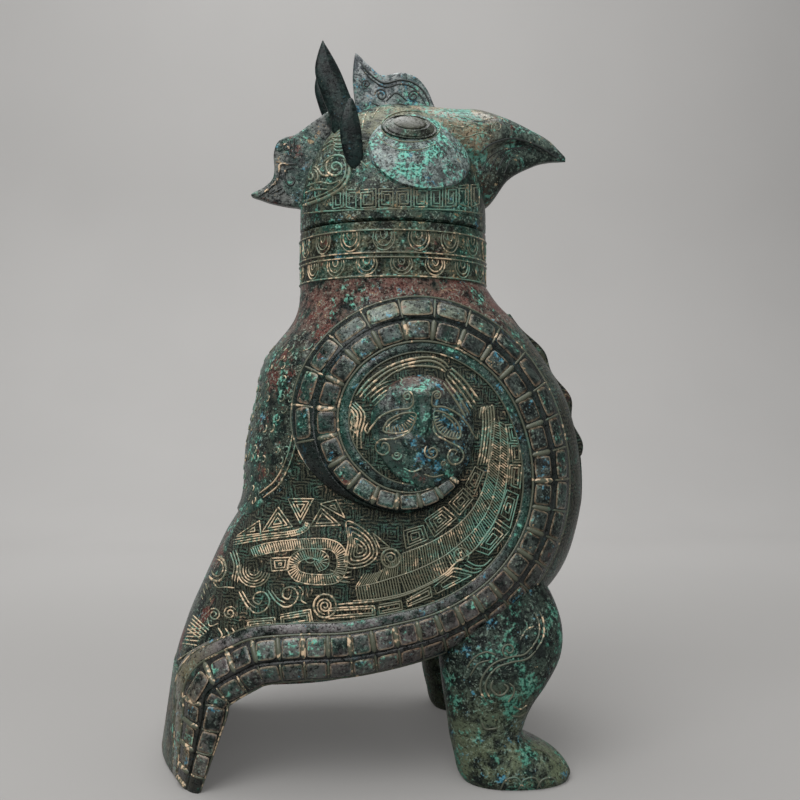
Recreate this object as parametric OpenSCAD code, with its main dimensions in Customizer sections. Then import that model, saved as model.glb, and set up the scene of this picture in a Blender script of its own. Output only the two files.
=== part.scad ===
// Bronze owl zun: a lidded wine vessel in the form of a standing bird.
// The bird faces +X, its left side is +Y, +Z is up. The head is the lid.
// The origin is the middle of the footprint's box, on the ground.

/* [Vessel] */
// Ground to the underside of the rump
belly_z = 62; // [50:1:80]
// Height of the belly, from its underside to the foot of the neck
belly_h = 242; // [220:1:270]
// Reach of the breast in front of the neck's axis
breast_reach = 126.5; // [114:0.5:140]
// Reach of the back behind the neck's axis
back_reach = 99.5; // [92:0.5:110]
// Reach of the rump behind the neck's axis, at the underside
rump_reach = 143.5; // [134:0.5:152]
// Half of the belly's width
belly_half_w = 86; // [80:1:96]
// Thickness of the cast wall
wall = 6; // [4:0.5:8]
// Outer radius of the neck
neck_r = 62.5; // [56:0.5:68]
// Height of the neck, from the shoulder to the seam of the lid
neck_h = 35.6; // [28:0.2:46]
// Height of each raised line round the neck
bead_h = 1.4; // [0.8:0.1:2.4]

/* [Lid] */
// Height of the plain rim at the foot of the lid
rim_h = 10; // [8:0.5:14]
// Height of the dome of the head above the rim
dome_h = 77; // [66:1:90]
// Depth that the locating ring reaches into the neck
spigot_depth = 12; // [8:0.5:20]
// Height of the locating ring inside the head
spigot_land = 9; // [6:0.5:12]
// Wall of the locating ring
spigot_wall = 4; // [3:0.25:6]
// Radial clearance of the locating ring in the neck
spigot_clear = 0.3; // [0.2:0.05:0.5]
// Radial clearance of the locating ring in the head
turn_clear = 0.05; // [0.03:0.01:0.1]
// Gap of the seam between lid and neck
seam_gap = 0.3; // [0.2:0.05:0.6]

/* [Head] */
// Reach of the bill in front of the neck's axis
bill_reach = 119; // [108:0.5:124]
// Half of the bill's width at its root
bill_half_w = 30; // [26:0.5:34]
// Thickness of the raised cheek
cheek_t = 3; // [2:0.25:4]
// Half length of the cheek
cheek_len = 33; // [28:1:35]
// Half height of the cheek
cheek_high = 27; // [22:1:29]
// Half length of the eye
eye_len = 18.5; // [14:0.5:22]
// Half height of the eye
eye_high = 9.5; // [7:0.5:12]
// Rise of the eye above the cheek
eye_rise = 4; // [2.5:0.25:6]
// Thickness of the crest on the crown
crest_t = 9; // [6:0.5:12]
// Rise of the crest's tip above the seam
crest_rise = 122.5; // [116:0.5:130]
// Thickness of the flange at the nape
nape_t = 9; // [6:0.5:12]
// Reach of the nape's hook behind the neck's axis
nape_reach = 95.5; // [88:0.5:102]
// Rise of the horns' tips above the seam
horn_rise = 123.5; // [114:0.5:126]
// Thickness of a horn
horn_t = 8; // [6:0.5:10]
// Distance of a horn from the middle plane
horn_y = 20; // [16:1:34]
// Rise of the ears' tips above the seam
ear_rise = 78; // [70:1:84]
// Thickness of an ear
ear_t = 6; // [4:0.5:8]
// Distance of an ear from the middle plane
ear_y = 52; // [49:0.5:54]

/* [Wings] */
// Thickness of the wing's field
wing_t = 4; // [3:0.25:6]
// Radius of the coil, from its centre to the middle of its band, at the top
coil_r = 66; // [60:1:70]
// Half of the width of the snake's band
band_half_w = 14; // [11:0.5:16]
// Rise of the snake's band above the wing
band_rise = 4.5; // [3:0.25:6]
// Radius of the snake's head at the middle of the coil
boss_r = 33; // [26:1:36]
// Rise of the snake's head above the wing
boss_rise = 6; // [4:0.5:9]
// Thickness of the flange down the breast
flange_t = 8; // [6:0.5:12]
// Rise of the flange above the breast
flange_rise = 4; // [3:0.25:6]

/* [Legs and tail] */
// Distance of a foot's middle from the middle plane
foot_y = 72; // [65:1:77]
// Half of a foot's width
foot_half_w = 28; // [23:0.5:30]
// Front of the toes, from the neck's axis
toe_reach = 103; // [94:1:110]
// Back of the heel, from the neck's axis
heel_reach = 33.5; // [28:0.5:42]
// Wall of the hollow leg
leg_wall = 6; // [4:0.5:8]
// Clearance of the clay core in the leg
core_clear = 0.3; // [0.2:0.05:0.5]
// Reach of the tail behind the neck's axis, at the ground
tail_reach = 154; // [148:1:162]
// Half of the tail's width at the ground
tail_half_w = 85; // [78:1:92]
// Length of the tail's sides, from its back forwards, at the ground
tail_side = 34.5; // [30:0.5:44]
// Thickness of the tail's wall
tail_t = 9; // [6:0.5:12]

/* [Hidden] */
// Gap left in the brazed seams between castings
braze = 0.25;
// Gap under the panels that lie on a curved wall
panel_gap = 0.5;
// Facets of true curves
$fn = 96;

neck_z = belly_z + belly_h;
seam_z = neck_z + neck_h;
head_h = rim_h + dome_h;
bore_r = neck_r - wall;
spigot_r = bore_r - spigot_clear;
land_r = spigot_r + turn_clear;
// The tail's squareness in plan, and how far its sides lean forwards and draw in, up to the rump
tail_foot_power = 1.45;
tail_root_power = 2.5;
tail_lean = 14;
tail_setback = 2;
// The box of the whole object is centred on the origin
neck_x = (tail_reach - breast_reach - flange_rise) / 2;

// Smooth curve through stations whose first column is the key
function cell(st, x, i = 0) = (i >= len(st) - 2 || x < st[i + 1][0]) ? i : cell(st, x, i + 1);
function slope(st, i, c) =
    let (a = max(i - 1, 0), b = min(i + 1, len(st) - 1))
    (st[b][c] - st[a][c]) / (st[b][0] - st[a][0]);
function at(st, x, c) =
    let (
        i = cell(st, x),
        h = st[i + 1][0] - st[i][0],
        t = (x - st[i][0]) / h,
        t2 = t * t,
        t3 = t2 * t
    )
    (2 * t3 - 3 * t2 + 1) * st[i][c] + (t3 - 2 * t2 + t) * h * slope(st, i, c)
    + (3 * t2 - 2 * t3) * st[i + 1][c] + (t3 - t2) * h * slope(st, i + 1, c);

// Point of a rounded square's outline: power 2 is an ellipse, more is squarer
function round_square(a, power) =
    let (c = cos(a), s = sin(a))
    [sign(c) * pow(abs(c), 2 / power), sign(s) * pow(abs(s), 2 / power)];

// Faces of rings of n points, stacked m high and closed at both ends
function stack_faces(n, m) = concat(
    [[for (i = [0:n - 1]) i]],
    [for (j = [0:m - 2], i = [0:n - 1])
        let (k = (i + 1) % n)
        each [[j * n + i, (j + 1) * n + i, (j + 1) * n + k], [j * n + i, (j + 1) * n + k, j * n + k]]],
    [[for (i = [n - 1:-1:0]) (m - 1) * n + i]]
);
module stack(rings) {
    polyhedron([for (r = rings) each r], stack_faces(len(rings[0]), len(rings)), convexity = 8);
}

// One closed casting out of faceted pieces, cut to the surface that carries it
module seated() {
    resize([0, 0, 0]) difference() {
        children(0);
        children([1:$children - 1]);
    }
}

module mirrored(side) {
    if (side > 0) children();
    else mirror([0, 1, 0]) children();
}

// Belly: height, back, front, half width and squareness of its level sections
function up(share) = belly_z + share * belly_h;
BODY = [
    [up(0), -rump_reach, -0.06 * breast_reach, 0.98 * belly_half_w, 2.5],
    [up(0.035), -0.985 * rump_reach, 0.29 * breast_reach, 1.01 * belly_half_w, 2.5],
    [up(0.08), -0.96 * rump_reach, 0.52 * breast_reach, 1.03 * belly_half_w, 2.5],
    [up(0.13), -0.93 * rump_reach, 0.68 * breast_reach, 1.04 * belly_half_w, 2.5],
    [up(0.19), -0.885 * rump_reach, 0.82 * breast_reach, 1.04 * belly_half_w, 2.45],
    [up(0.25), -0.84 * rump_reach, 0.905 * breast_reach, 1.03 * belly_half_w, 2.4],
    [up(0.33), -0.5 * back_reach - 0.43 * rump_reach, 0.965 * breast_reach, 1.02 * belly_half_w, 2.3],
    [up(0.42), -back_reach, breast_reach, belly_half_w, 2.2],
    [up(0.56), -0.97 * back_reach, 0.985 * breast_reach, belly_half_w, 2.15],
    [up(0.69), -0.56 * back_reach - 0.55 * neck_r, 0.66 * breast_reach + 0.53 * neck_r, 0.97 * belly_half_w, 2.1],
    [up(0.80), -0.405 * back_reach - 0.7 * neck_r, 0.38 * breast_reach + 0.86 * neck_r, 0.46 * belly_half_w + 0.61 * neck_r, 2.05],
    [up(0.90), -1.075 * neck_r, 1.335 * neck_r, 1.1 * neck_r, 2],
    [up(0.95), -1.005 * neck_r, 1.14 * neck_r, 1.025 * neck_r, 2],
    [neck_z, -neck_r, neck_r, neck_r, 2]
];
body_sides = 52;
body_levels = 22;
liner_levels = 13;

function back_at(z) = at(BODY, z, 1);
function front_at(z) = at(BODY, z, 2);
function body_ring(z, out, lift = 0) =
    let (b = back_at(z) - out, f = front_at(z) + out, w = at(BODY, z, 3) + out, p = at(BODY, z, 4))
    [for (i = [0:body_sides - 1])
        let (q = round_square(360 * i / body_sides, p))
        [neck_x + (f + b) / 2 + (f - b) / 2 * q[0], w * q[1], z + lift]];
// Half width of the belly at a place in its side view
function side_y(x, z, out) =
    let (
        b = back_at(z) - out,
        f = front_at(z) + out,
        q = min(0.985, abs((x - neck_x - (f + b) / 2) / ((f - b) / 2)))
    )
    (at(BODY, z, 3) + out) * pow(1 - pow(q, at(BODY, z, 4)), 1 / at(BODY, z, 4));

// Levels are closer near the underside, where the belly turns in
function level(i, count) = pow(i / count, 1.35);
module belly_outside(out) {
    stack([for (i = [0:body_levels]) body_ring(belly_z - out + level(i, body_levels) * (belly_h + out), out)]);
}
// The inside follows the outside a wall's thickness in, and as much higher at the floor
module belly_shell() {
    color("darkslategray") stack(concat(
        [for (i = [0:body_levels]) body_ring(up(level(i, body_levels)), 0)],
        [for (i = [liner_levels:-1:0])
            let (s = level(i, liner_levels))
            body_ring(up(s), -wall, wall * (1 - s))]
    ));
}

// Neck: a turned collar with raised lines above, between and below its two rows of scales
module neck_collar() {
    lines = [0.03, 0.36, 0.44, 0.83];
    color("olivedrab") translate([neck_x, 0, neck_z]) difference() {
        union() {
            cylinder(r = neck_r, h = neck_h);
            for (s = lines)
                translate([0, 0, s * neck_h]) rotate_extrude() translate([neck_r, 0]) circle(bead_h / 2, $fn = 16);
        }
        translate([0, 0, -1]) cylinder(r = bore_r, h = neck_h + 2);
    }
}

// Wing field: its outline in shares of the reach and of the belly's height
wing_mid = [-0.015, 0.43];
WING = [
    [0.862, 0.42], [0.832, 0.62], [0.704, 0.77], [0.487, 0.89], [0.072, 0.945], [-0.132, 0.93],
    [-0.274, 0.84], [-0.396, 0.70], [-0.457, 0.58], [-0.498, 0.49], [-0.712, 0.37], [-0.80, 0.20],
    [-0.80, 0.08], [-0.70, 0.02], [-0.355, 0.02], [-0.015, 0.045], [0.18, 0.075], [0.338, 0.115],
    [0.536, 0.18], [0.724, 0.235], [0.813, 0.32]
];
wing_spokes = 46;
wing_rings = 8;
function wing_point(p) = [neck_x + p[0] * (p[0] < 0 ? rump_reach : breast_reach), up(p[1])];
// Closed smooth curve through hand-set points, u from 0 to 1
function loop_point(pts, u) =
    let (
        n = len(pts),
        s = u * n,
        i = floor(s) % n,
        t = s - floor(s),
        p0 = pts[(i + n - 1) % n],
        p1 = pts[i],
        p2 = pts[(i + 1) % n],
        p3 = pts[(i + 2) % n]
    )
    0.5 * (2 * p1 + (p2 - p0) * t + (2 * p0 - 5 * p1 + 4 * p2 - p3) * t * t
        + (3 * p1 - p0 - 3 * p2 + p3) * t * t * t);

// Faces of a closed panel: a middle point and rings on its top, then the same below
function panel_faces(n, m) =
    let (under = 1 + n * m)
    concat(
        [for (i = [0:n - 1]) [0, 1 + i, 1 + (i + 1) % n]],
        [for (j = [0:m - 2], i = [0:n - 1])
            let (a = 1 + j * n, k = (i + 1) % n)
            each [[a + i, a + n + i, a + n + k], [a + i, a + n + k, a + k]]],
        [for (i = [0:n - 1])
            let (a = 1 + (m - 1) * n, k = (i + 1) % n)
            each [[a + i, a + under + i, a + under + k], [a + i, a + under + k, a + k]]],
        [for (j = [0:m - 2], i = [0:n - 1])
            let (a = under + 1 + j * n, k = (i + 1) % n)
            each [[a + i, a + n + k, a + n + i], [a + i, a + k, a + n + k]]],
        [for (i = [0:n - 1]) [under, under + 1 + (i + 1) % n, under + 1 + i]]
    );
module panel(top, bottom, n, m) {
    polyhedron(concat(top, bottom), panel_faces(n, m), convexity = 6);
}

function wing_grid(out) =
    let (mid = wing_point(wing_mid), edge = [for (p = WING) wing_point(p)])
    concat(
        [[mid[0], side_y(mid[0], mid[1], out), mid[1]]],
        [for (j = [1:wing_rings], i = [0:wing_spokes - 1])
            let (q = mid + (loop_point(edge, i / wing_spokes) - mid) * j / wing_rings)
            [q[0], side_y(q[0], q[1], out), q[1]]]
    );
// The wing's outline as a block, from one height over the belly to another
module wing_block(low, high) {
    panel(wing_grid(high), wing_grid(low), wing_spokes, wing_rings);
}
wing_top = braze + wing_t;
module wing() {
    seated() {
        wing_block(-wall / 2, wing_top);
        belly_outside(braze);
    }
}
module right_wing() { color("darkslategray") mirrored(-1) wing(); }
module left_wing() { color("darkslategray") mirrored(1) wing(); }

// Coiled snake: turn of the coil from straight down, and its radius in shares of the coil
COIL = [
    [-40, 0.61], [0, 0.72], [90, 0.91], [180, 1], [225, 1.06], [270, 1.23], [315, 1.60], [360, 1.90]
];
coil_mid = [0.052, 0.62];
coil_steps = 44;
// The band's run along the wing's lower edge, and the heights of its end on the side of the tail
RUN = [[-0.213, 0.075], [-0.417, 0.07], [-0.579, 0.06], [-0.661, 0.04]];
TAIL_RUN = [0.95, 0.72, 0.48, 0.26, 0.1];
function coil_point(turn) =
    let (r = coil_r * at(COIL, turn, 1), c = wing_point(coil_mid))
    c + r * [-sin(turn), -cos(turn)];
function tail_point(s) = [neck_x + tail_edge(s) - 0.62 * band_half_w, s * belly_z];
SNAKE = concat(
    [for (i = [0:coil_steps]) coil_point(COIL[0][0] + (360 - COIL[0][0]) * i / coil_steps)],
    [for (p = RUN) wing_point(p)],
    [for (s = TAIL_RUN) tail_point(s)]
);
// The band lies on the wing's field, then steps down to the wall of the tail
wing_foot = 0.02 * belly_h;
band_base = wing_top + braze;
function snake_y(q) =
    let (lap = min(1, max(0, (q[1] - belly_z) / wing_foot)))
    q[1] > belly_z ? side_y(q[0], q[1], braze + lap * (band_base - braze)) : tail_y(q[0], q[1]) + braze;
function along(pts, i) = let (d = pts[min(i + 1, len(pts) - 1)] - pts[max(i - 1, 0)]) d / norm(d);
// The band is narrow at its inner end, full after the first quarter turn, and narrow again on the tail
function band_w(i) = band_half_w * min(1, 0.55 + 0.45 * i / 12, 0.5 + 0.1 * (len(SNAKE) - 1 - i));
// The band's section: across, in shares of its half width, and up, in shares of its rise
band_root = -1.2;
BAND = [
    [-1, band_root], [-1, 0.15], [-0.8, 0.75], [-0.3, 1], [0.3, 1], [0.8, 0.75], [1, 0.15], [1, band_root]
];
function snake_ring(i, grow) =
    let (p = SNAKE[i], d = along(SNAKE, i), n = [-d[1], d[0]])
    [for (s = BAND)
        let (q = p + n * s[0] * (band_w(i) + grow))
        [q[0], snake_y(q) + s[1] * band_rise + (s[1] > 0 ? grow : 0), q[1]]];
module snake_block(grow) {
    stack([for (i = [0:len(SNAKE) - 1]) snake_ring(i, grow)]);
}
module snake() {
    seated() {
        snake_block(0);
        belly_outside(braze);
        wing_block(-wall, wing_top + braze);
        tail_block(-braze);
    }
}
module right_snake() { color("steelblue") mirrored(-1) snake(); }
module left_snake() { color("steelblue") mirrored(1) snake(); }

// Snake's head: a low round boss inside the coil
boss_spokes = 28;
boss_rings = 4;
function boss_grid(rise) =
    let (c = wing_point(coil_mid))
    concat(
        [[c[0], side_y(c[0], c[1], band_base) + rise, c[1]]],
        [for (j = [1:boss_rings], i = [0:boss_spokes - 1])
            let (f = j / boss_rings, q = c + 0.92 * boss_r * f * [cos(360 * i / boss_spokes), sin(360 * i / boss_spokes)])
            [q[0], side_y(q[0], q[1], band_base) + rise * (1 - 0.8 * f * f * f), q[1]]]
    );
module snake_head() {
    seated() {
        panel(boss_grid(boss_rise), boss_grid(band_root), boss_spokes, boss_rings);
        wing_block(-wall, wing_top + braze);
    }
}
module right_snake_head() { color("teal") mirrored(-1) snake_head(); }
module left_snake_head() { color("teal") mirrored(1) snake_head(); }

// Flange down the middle of the breast, with three hooks below the neck
module breast_flange() {
    low = up(0.2);
    high = up(0.93);
    steps = 30;
    function rise(s) = flange_rise * (s < 0.45 ? 1 : 1.15 + 0.55 * sin(360 * 3 * (s - 0.45) / 0.55));
    function height(s) = low + s * (high - low);
    color("darkolivegreen") translate([neck_x, flange_t / 2, 0]) rotate([90, 0, 0]) linear_extrude(flange_t)
        polygon(concat(
            [for (i = [0:steps]) let (s = i / steps) [front_at(height(s)) + rise(s), height(s)]],
            [for (i = [steps:-1:0]) let (s = i / steps) [front_at(height(s)) + panel_gap, height(s)]]
        ));
}

// Leg: height in shares of the rump's, then back, front, middle and half width of its level sections
LEG = [
    [0, 1.075 * heel_reach, 0.98 * toe_reach, foot_y, 0.92 * foot_half_w],
    [0.065, heel_reach, 0.99 * toe_reach, foot_y, foot_half_w],
    [0.21, 0.94 * heel_reach, 0.926 * toe_reach, foot_y, 0.97 * foot_half_w],
    [0.32, 0.89 * heel_reach, 0.825 * toe_reach, foot_y, 0.9 * foot_half_w],
    [0.42, 0.85 * heel_reach, 0.712 * toe_reach, foot_y, 0.86 * foot_half_w],
    [0.55, 0.82 * heel_reach, 0.718 * toe_reach, foot_y, 0.85 * foot_half_w],
    [0.73, 0.77 * heel_reach, 0.771 * toe_reach, 0.99 * foot_y, 0.9 * foot_half_w],
    [0.92, 0.72 * heel_reach, 0.857 * toe_reach, 0.97 * foot_y, 0.97 * foot_half_w],
    [1.16, 0.68 * heel_reach, 0.945 * toe_reach, 0.92 * foot_y, 1.02 * foot_half_w],
    [1.40, 0.66 * heel_reach, 0.97 * toe_reach, 0.86 * foot_y, 1.02 * foot_half_w],
    [1.63, 0.65 * heel_reach, 0.945 * toe_reach, 0.79 * foot_y, foot_half_w],
    [1.87, 0.65 * heel_reach, 0.88 * toe_reach, 0.72 * foot_y, 0.96 * foot_half_w],
    [2.13, 0.65 * heel_reach, 0.78 * toe_reach, 0.66 * foot_y, 0.88 * foot_half_w]
];
leg_sides = 24;
leg_levels = 17;
leg_power = 2.3;
function leg_ring(s, inset) =
    let (b = at(LEG, s, 1) + inset, f = at(LEG, s, 2) - inset, w = at(LEG, s, 4) - inset)
    [for (i = [0:leg_sides - 1])
        let (q = round_square(360 * i / leg_sides, leg_power))
        [neck_x + (f + b) / 2 + (f - b) / 2 * q[0], at(LEG, s, 3) + w * q[1], s * belly_z]];
// A leg's solid, drawn in from its outside and up from the ground by the same amount
module leg_solid(inset) {
    low = inset / belly_z;
    high = LEG[len(LEG) - 1][0];
    stack([for (i = [0:leg_levels]) leg_ring(low + pow(i / leg_levels, 1.2) * (high - low), inset)]);
}
module leg() {
    seated() {
        leg_solid(0);
        leg_solid(leg_wall);
        thigh_cut();
    }
}
// The thigh ends at the belly, and at the wing's lower edge and band, which pass in front of it
module thigh_cut() {
    belly_outside(braze);
    wing_block(-wall, foot_half_w);
    snake_block(braze);
}
module leg_core() {
    seated() {
        leg_solid(leg_wall + core_clear);
        thigh_cut();
    }
}
module right_leg() { color("seagreen") mirrored(-1) leg(); }
module left_leg() { color("seagreen") mirrored(1) leg(); }
module right_leg_core() { color("sienna") mirrored(-1) leg_core(); }
module left_leg_core() { color("sienna") mirrored(1) leg_core(); }

// Tail: a wall bent round the back, the third foot
tail_turns = 30;
tail_levels = 7;
function tail_back(s) = -tail_reach + s * (tail_reach - rump_reach);
function tail_edge(s) = -tail_reach + tail_side + s * tail_lean;
// Its level section is a blunt wedge at the foot and square at the root, as the rump is
function tail_power(s) = tail_foot_power + s * (tail_root_power - tail_foot_power);
function tail_w(s) = tail_half_w + s * (BODY[0][3] - tail_setback - tail_half_w);
function tail_y(x, z) =
    let (
        s = z / belly_z,
        d = (tail_edge(s) - x + neck_x) / (tail_edge(s) - tail_back(s))
    )
    tail_w(s) * pow(1 - pow(min(0.97, max(0, d)), tail_power(s)), 1 / tail_power(s));
// A ring in from the tail's outside, or out from it, reaches a little past the front of the sides
function tail_ring(s, inset) =
    let (front = tail_edge(s) + abs(inset) / 4, back = tail_back(s) + inset)
    [for (i = [0:tail_turns])
        let (q = round_square(-90 + 180 * i / tail_turns, tail_power(s)))
        [neck_x + front - (front - back) * q[0], -(tail_w(s) - inset) * q[1], s * belly_z]];
module tail_block(inset) {
    stack([for (j = [0:tail_levels]) tail_ring(j / tail_levels, inset)]);
}
module tail() {
    hollow = [-0.1, 0.2, 0.5, 0.8, 1.1];
    color("saddlebrown") seated() {
        tail_block(0);
        stack([for (s = hollow) tail_ring(s, tail_t)]);
    }
}

// Lid: the dome of the head, round its axis, with a land for the locating ring
function dome_r(h, out) =
    h <= rim_h ? neck_r + out
    : (neck_r + out) * sqrt(max(0, 1 - pow((h - rim_h) / (dome_h + out), 2)));
dome_steps = 24;
function dome_outline(out, low) = concat(
    [[0, low], [neck_r + out, low]],
    [for (i = [0:dome_steps]) [(neck_r + out) * cos(90 * i / dome_steps), rim_h + (dome_h + out) * sin(90 * i / dome_steps)]]
);
module dome_outside(out) {
    translate([neck_x, 0, seam_z]) rotate_extrude() polygon(dome_outline(out, seam_gap));
}
module head_shell() {
    step = 1.5;
    color("darkslategray") difference() {
        dome_outside(0);
        translate([neck_x, 0, seam_z - 1]) cylinder(r = land_r, h = 1 + spigot_land + seam_gap);
        translate([neck_x, 0, seam_z]) rotate_extrude() polygon(concat(
            [[0, 0], [land_r - step, 0]],
            [for (i = [0:dome_steps])
                [(land_r - step) * cos(90 * i / dome_steps), rim_h + (dome_h - wall) * sin(90 * i / dome_steps)]]
        ));
    }
}
module lid_spigot() {
    color("dimgray") translate([neck_x, 0, seam_z - spigot_depth]) difference() {
        cylinder(r = spigot_r, h = spigot_depth + spigot_land);
        translate([0, 0, -1]) cylinder(r = spigot_r - spigot_wall, h = spigot_depth + spigot_land + 2);
    }
}

// Bill: forward reach, height of its top and underside above the seam, half width
BILL = [
    [0.05, 1.002, 0.93, 0.30], [0.14, 1.0, 0.85, 0.75], [0.26, 0.99, 0.66, 0.98], [0.37, 0.985, 0.42, 1.0],
    [0.50, 0.985, 0.29, 0.92], [0.60, 0.957, 0.33, 0.80], [0.70, 0.902, 0.47, 0.62], [0.84, 0.795, 0.58, 0.40],
    [0.95, 0.70, 0.60, 0.20], [1.0, 0.64, 0.605, 0.06]
];
bill_sides = 20;
bill_levels = 18;
function bill_ring(s) =
    let (
        x = neck_x + s * bill_reach,
        top = seam_z + at(BILL, s, 1) * head_h,
        low = seam_z + at(BILL, s, 2) * head_h,
        w = at(BILL, s, 3) * bill_half_w
    )
    [for (i = [0:bill_sides - 1])
        let (q = round_square(360 * i / bill_sides, 2.2))
        [x, w * q[0], (top + low) / 2 + (top - low) / 2 * q[1]]];
module bill() {
    first = BILL[0][0];
    color("darkkhaki") seated() {
        stack([for (i = [0:bill_levels]) bill_ring(first + (1 - first) * i / bill_levels)]);
        dome_outside(braze);
    }
}

// Cheeks and eyes lie on the sides of the dome: their middles in shares of the neck and of the head
cheek_mid = [0.20, 0.54];
eye_mid = [0.104, 0.70];
face_spokes = 24;
face_rings = 4;
function dome_y(x, h, out) = sqrt(max(1, pow(dome_r(h, out), 2) - pow(x - neck_x, 2)));
function face_grid(mid, len, high, out, rise, fall) =
    let (c = [neck_x + mid[0] * neck_r, mid[1] * head_h])
    concat(
        [[c[0], dome_y(c[0], c[1], out) + rise, seam_z + c[1]]],
        [for (j = [1:face_rings], i = [0:face_spokes - 1])
            let (
                f = j / face_rings,
                a = 360 * i / face_spokes,
                q = c + f * [len * cos(a), high * sin(a)]
            )
            [q[0], dome_y(q[0], q[1], out) + rise * (1 - fall * f * f), seam_z + q[1]]]
    );
module cheek() {
    seated() {
        panel(
            face_grid(cheek_mid, cheek_len, cheek_high, braze, cheek_t, 0),
            face_grid(cheek_mid, cheek_len, cheek_high, -wall / 2, 0, 0),
            face_spokes, face_rings
        );
        dome_outside(braze);
        bill_clearance();
    }
}
// The bill with a seam's gap all round, as a cutter
module bill_clearance() {
    first = BILL[0][0];
    grow = braze + panel_gap;
    stack([for (i = [0:bill_levels])
        let (r = bill_ring(first + (1 - first) * i / bill_levels), c = (r[0] + r[bill_sides / 2]) / 2)
        [for (p = r) let (d = p - c) p + grow * d / max(1, norm(d))]]);
}
module eye() {
    panel(
        face_grid(eye_mid, eye_len, eye_high, 2 * panel_gap, cheek_t + eye_rise, 0.6),
        face_grid(eye_mid, eye_len, eye_high, 2 * panel_gap, cheek_t, 0),
        face_spokes, face_rings
    );
}
module right_cheek() { color("cadetblue") mirrored(-1) cheek(); }
module left_cheek() { color("cadetblue") mirrored(1) cheek(); }
module right_eye() { color("slategray") mirrored(-1) eye(); }
module left_eye() { color("slategray") mirrored(1) eye(); }

// Upright blade in the middle plane, from an outline in side view above the seam
module blade(points, t, y = 0) {
    translate([neck_x, y + t / 2, seam_z]) rotate([90, 0, 0]) linear_extrude(t) polygon(points);
}

module crest() {
    front = [[0.24, 0.72], [0.19, 0.82], [0.125, 0.88], [0.04, 0.898], [-0.065, 0.88], [-0.13, 0.925]];
    outline = concat(
        [for (p = front) [p[0] * bill_reach, p[1] * crest_rise]],
        [[-0.215 * bill_reach, crest_rise], [-0.235 * bill_reach, 0.87 * crest_rise], [-0.2 * bill_reach, 0.5 * crest_rise],
            [0, 0.6 * head_h], [0.15 * bill_reach, 0.6 * head_h]]
    );
    color("slategray") difference() {
        blade(outline, crest_t);
        dome_outside(braze);
        crest_slot();
    }
}
// The brow of the bill takes the crest's foot in a slot
module crest_slot() {
    translate([neck_x, -bill_half_w, seam_z]) cube([bill_reach, 2 * bill_half_w, 0.999 * head_h + braze]);
}
module nape_flange() {
    edge = [
        [-0.44, 0.955], [-0.52, 0.90], [-0.64, 0.80], [-0.70, 0.76], [-0.775, 0.73], [-0.82, 0.69], [-0.84, 0.60],
        [-0.835, 0.50], [-0.84, 0.42], [-0.90, 0.36], [-1, 0.297], [-0.92, 0.26], [-0.83, 0.23], [-0.69, 0.206]
    ];
    color("darkolivegreen") difference() {
        blade(concat(
            [for (p = edge) [p[0] * nape_reach, p[1] * head_h]],
            [[-0.8 * neck_r, 0.21 * head_h], [-0.3 * neck_r, 0.5 * head_h], [-0.3 * neck_r, 0.9 * head_h]]
        ), nape_t);
        dome_outside(braze);
        nape_stop();
    }
}
// The nape's flange ends behind the crest
module nape_stop() {
    translate([neck_x - 0.24 * bill_reach - braze, -nape_t, seam_z])
        cube([bill_reach, 2 * nape_t, 2 * crest_rise]);
}

// Horns and ears are leaf-shaped blades that stand on the dome
// Their outlines are in shares of the neck's radius and of their own rise
HORN = [
    [-0.339, 0.49], [-0.403, 0.64], [-0.475, 0.72], [-0.595, 0.86], [-0.771, 1], [-0.845, 0.86], [-0.80, 0.75],
    [-0.69, 0.60], [-0.66, 0.45]
];
EAR = [
    [-0.371, 0.5], [-0.395, 0.75], [-0.435, 0.9], [-0.491, 1], [-0.571, 0.90], [-0.603, 0.74], [-0.563, 0.55],
    [-0.523, 0.44]
];
module horn() {
    difference() {
        blade([for (p = HORN) [p[0] * neck_r, p[1] * horn_rise]], horn_t, horn_y);
        dome_outside(braze);
    }
}
module ear() {
    difference() {
        blade([for (p = EAR) [p[0] * neck_r, p[1] * ear_rise]], ear_t, ear_y);
        dome_outside(braze);
    }
}
module right_horn() { color("black") mirrored(-1) horn(); }
module left_horn() { color("black") mirrored(1) horn(); }
module right_ear() { color("black") mirrored(-1) ear(); }
module left_ear() { color("black") mirrored(1) ear(); }

belly_shell();
neck_collar();
right_wing();
left_wing();
right_snake();
left_snake();
right_snake_head();
left_snake_head();
breast_flange();
right_leg();
left_leg();
right_leg_core();
left_leg_core();
tail();
lid_spigot();
head_shell();
bill();
right_cheek();
left_cheek();
right_eye();
left_eye();
crest();
nape_flange();
right_horn();
left_horn();
right_ear();
left_ear();
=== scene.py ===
"""Bronze owl zun: a lidded wine vessel in the form of a standing bird, dressed for the studio.

The bird faces +X, its left side is +Y, +Z is up. Sizes are millimetres until a mesh is made.
"""

import logging
import math
from dataclasses import dataclass, field, replace
from enum import Enum
from typing import Optional, Sequence, Union

import bpy
import numpy as np
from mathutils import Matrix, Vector
from mathutils.bvhtree import BVHTree
from mathutils.geometry import tessellate_polygon

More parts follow.
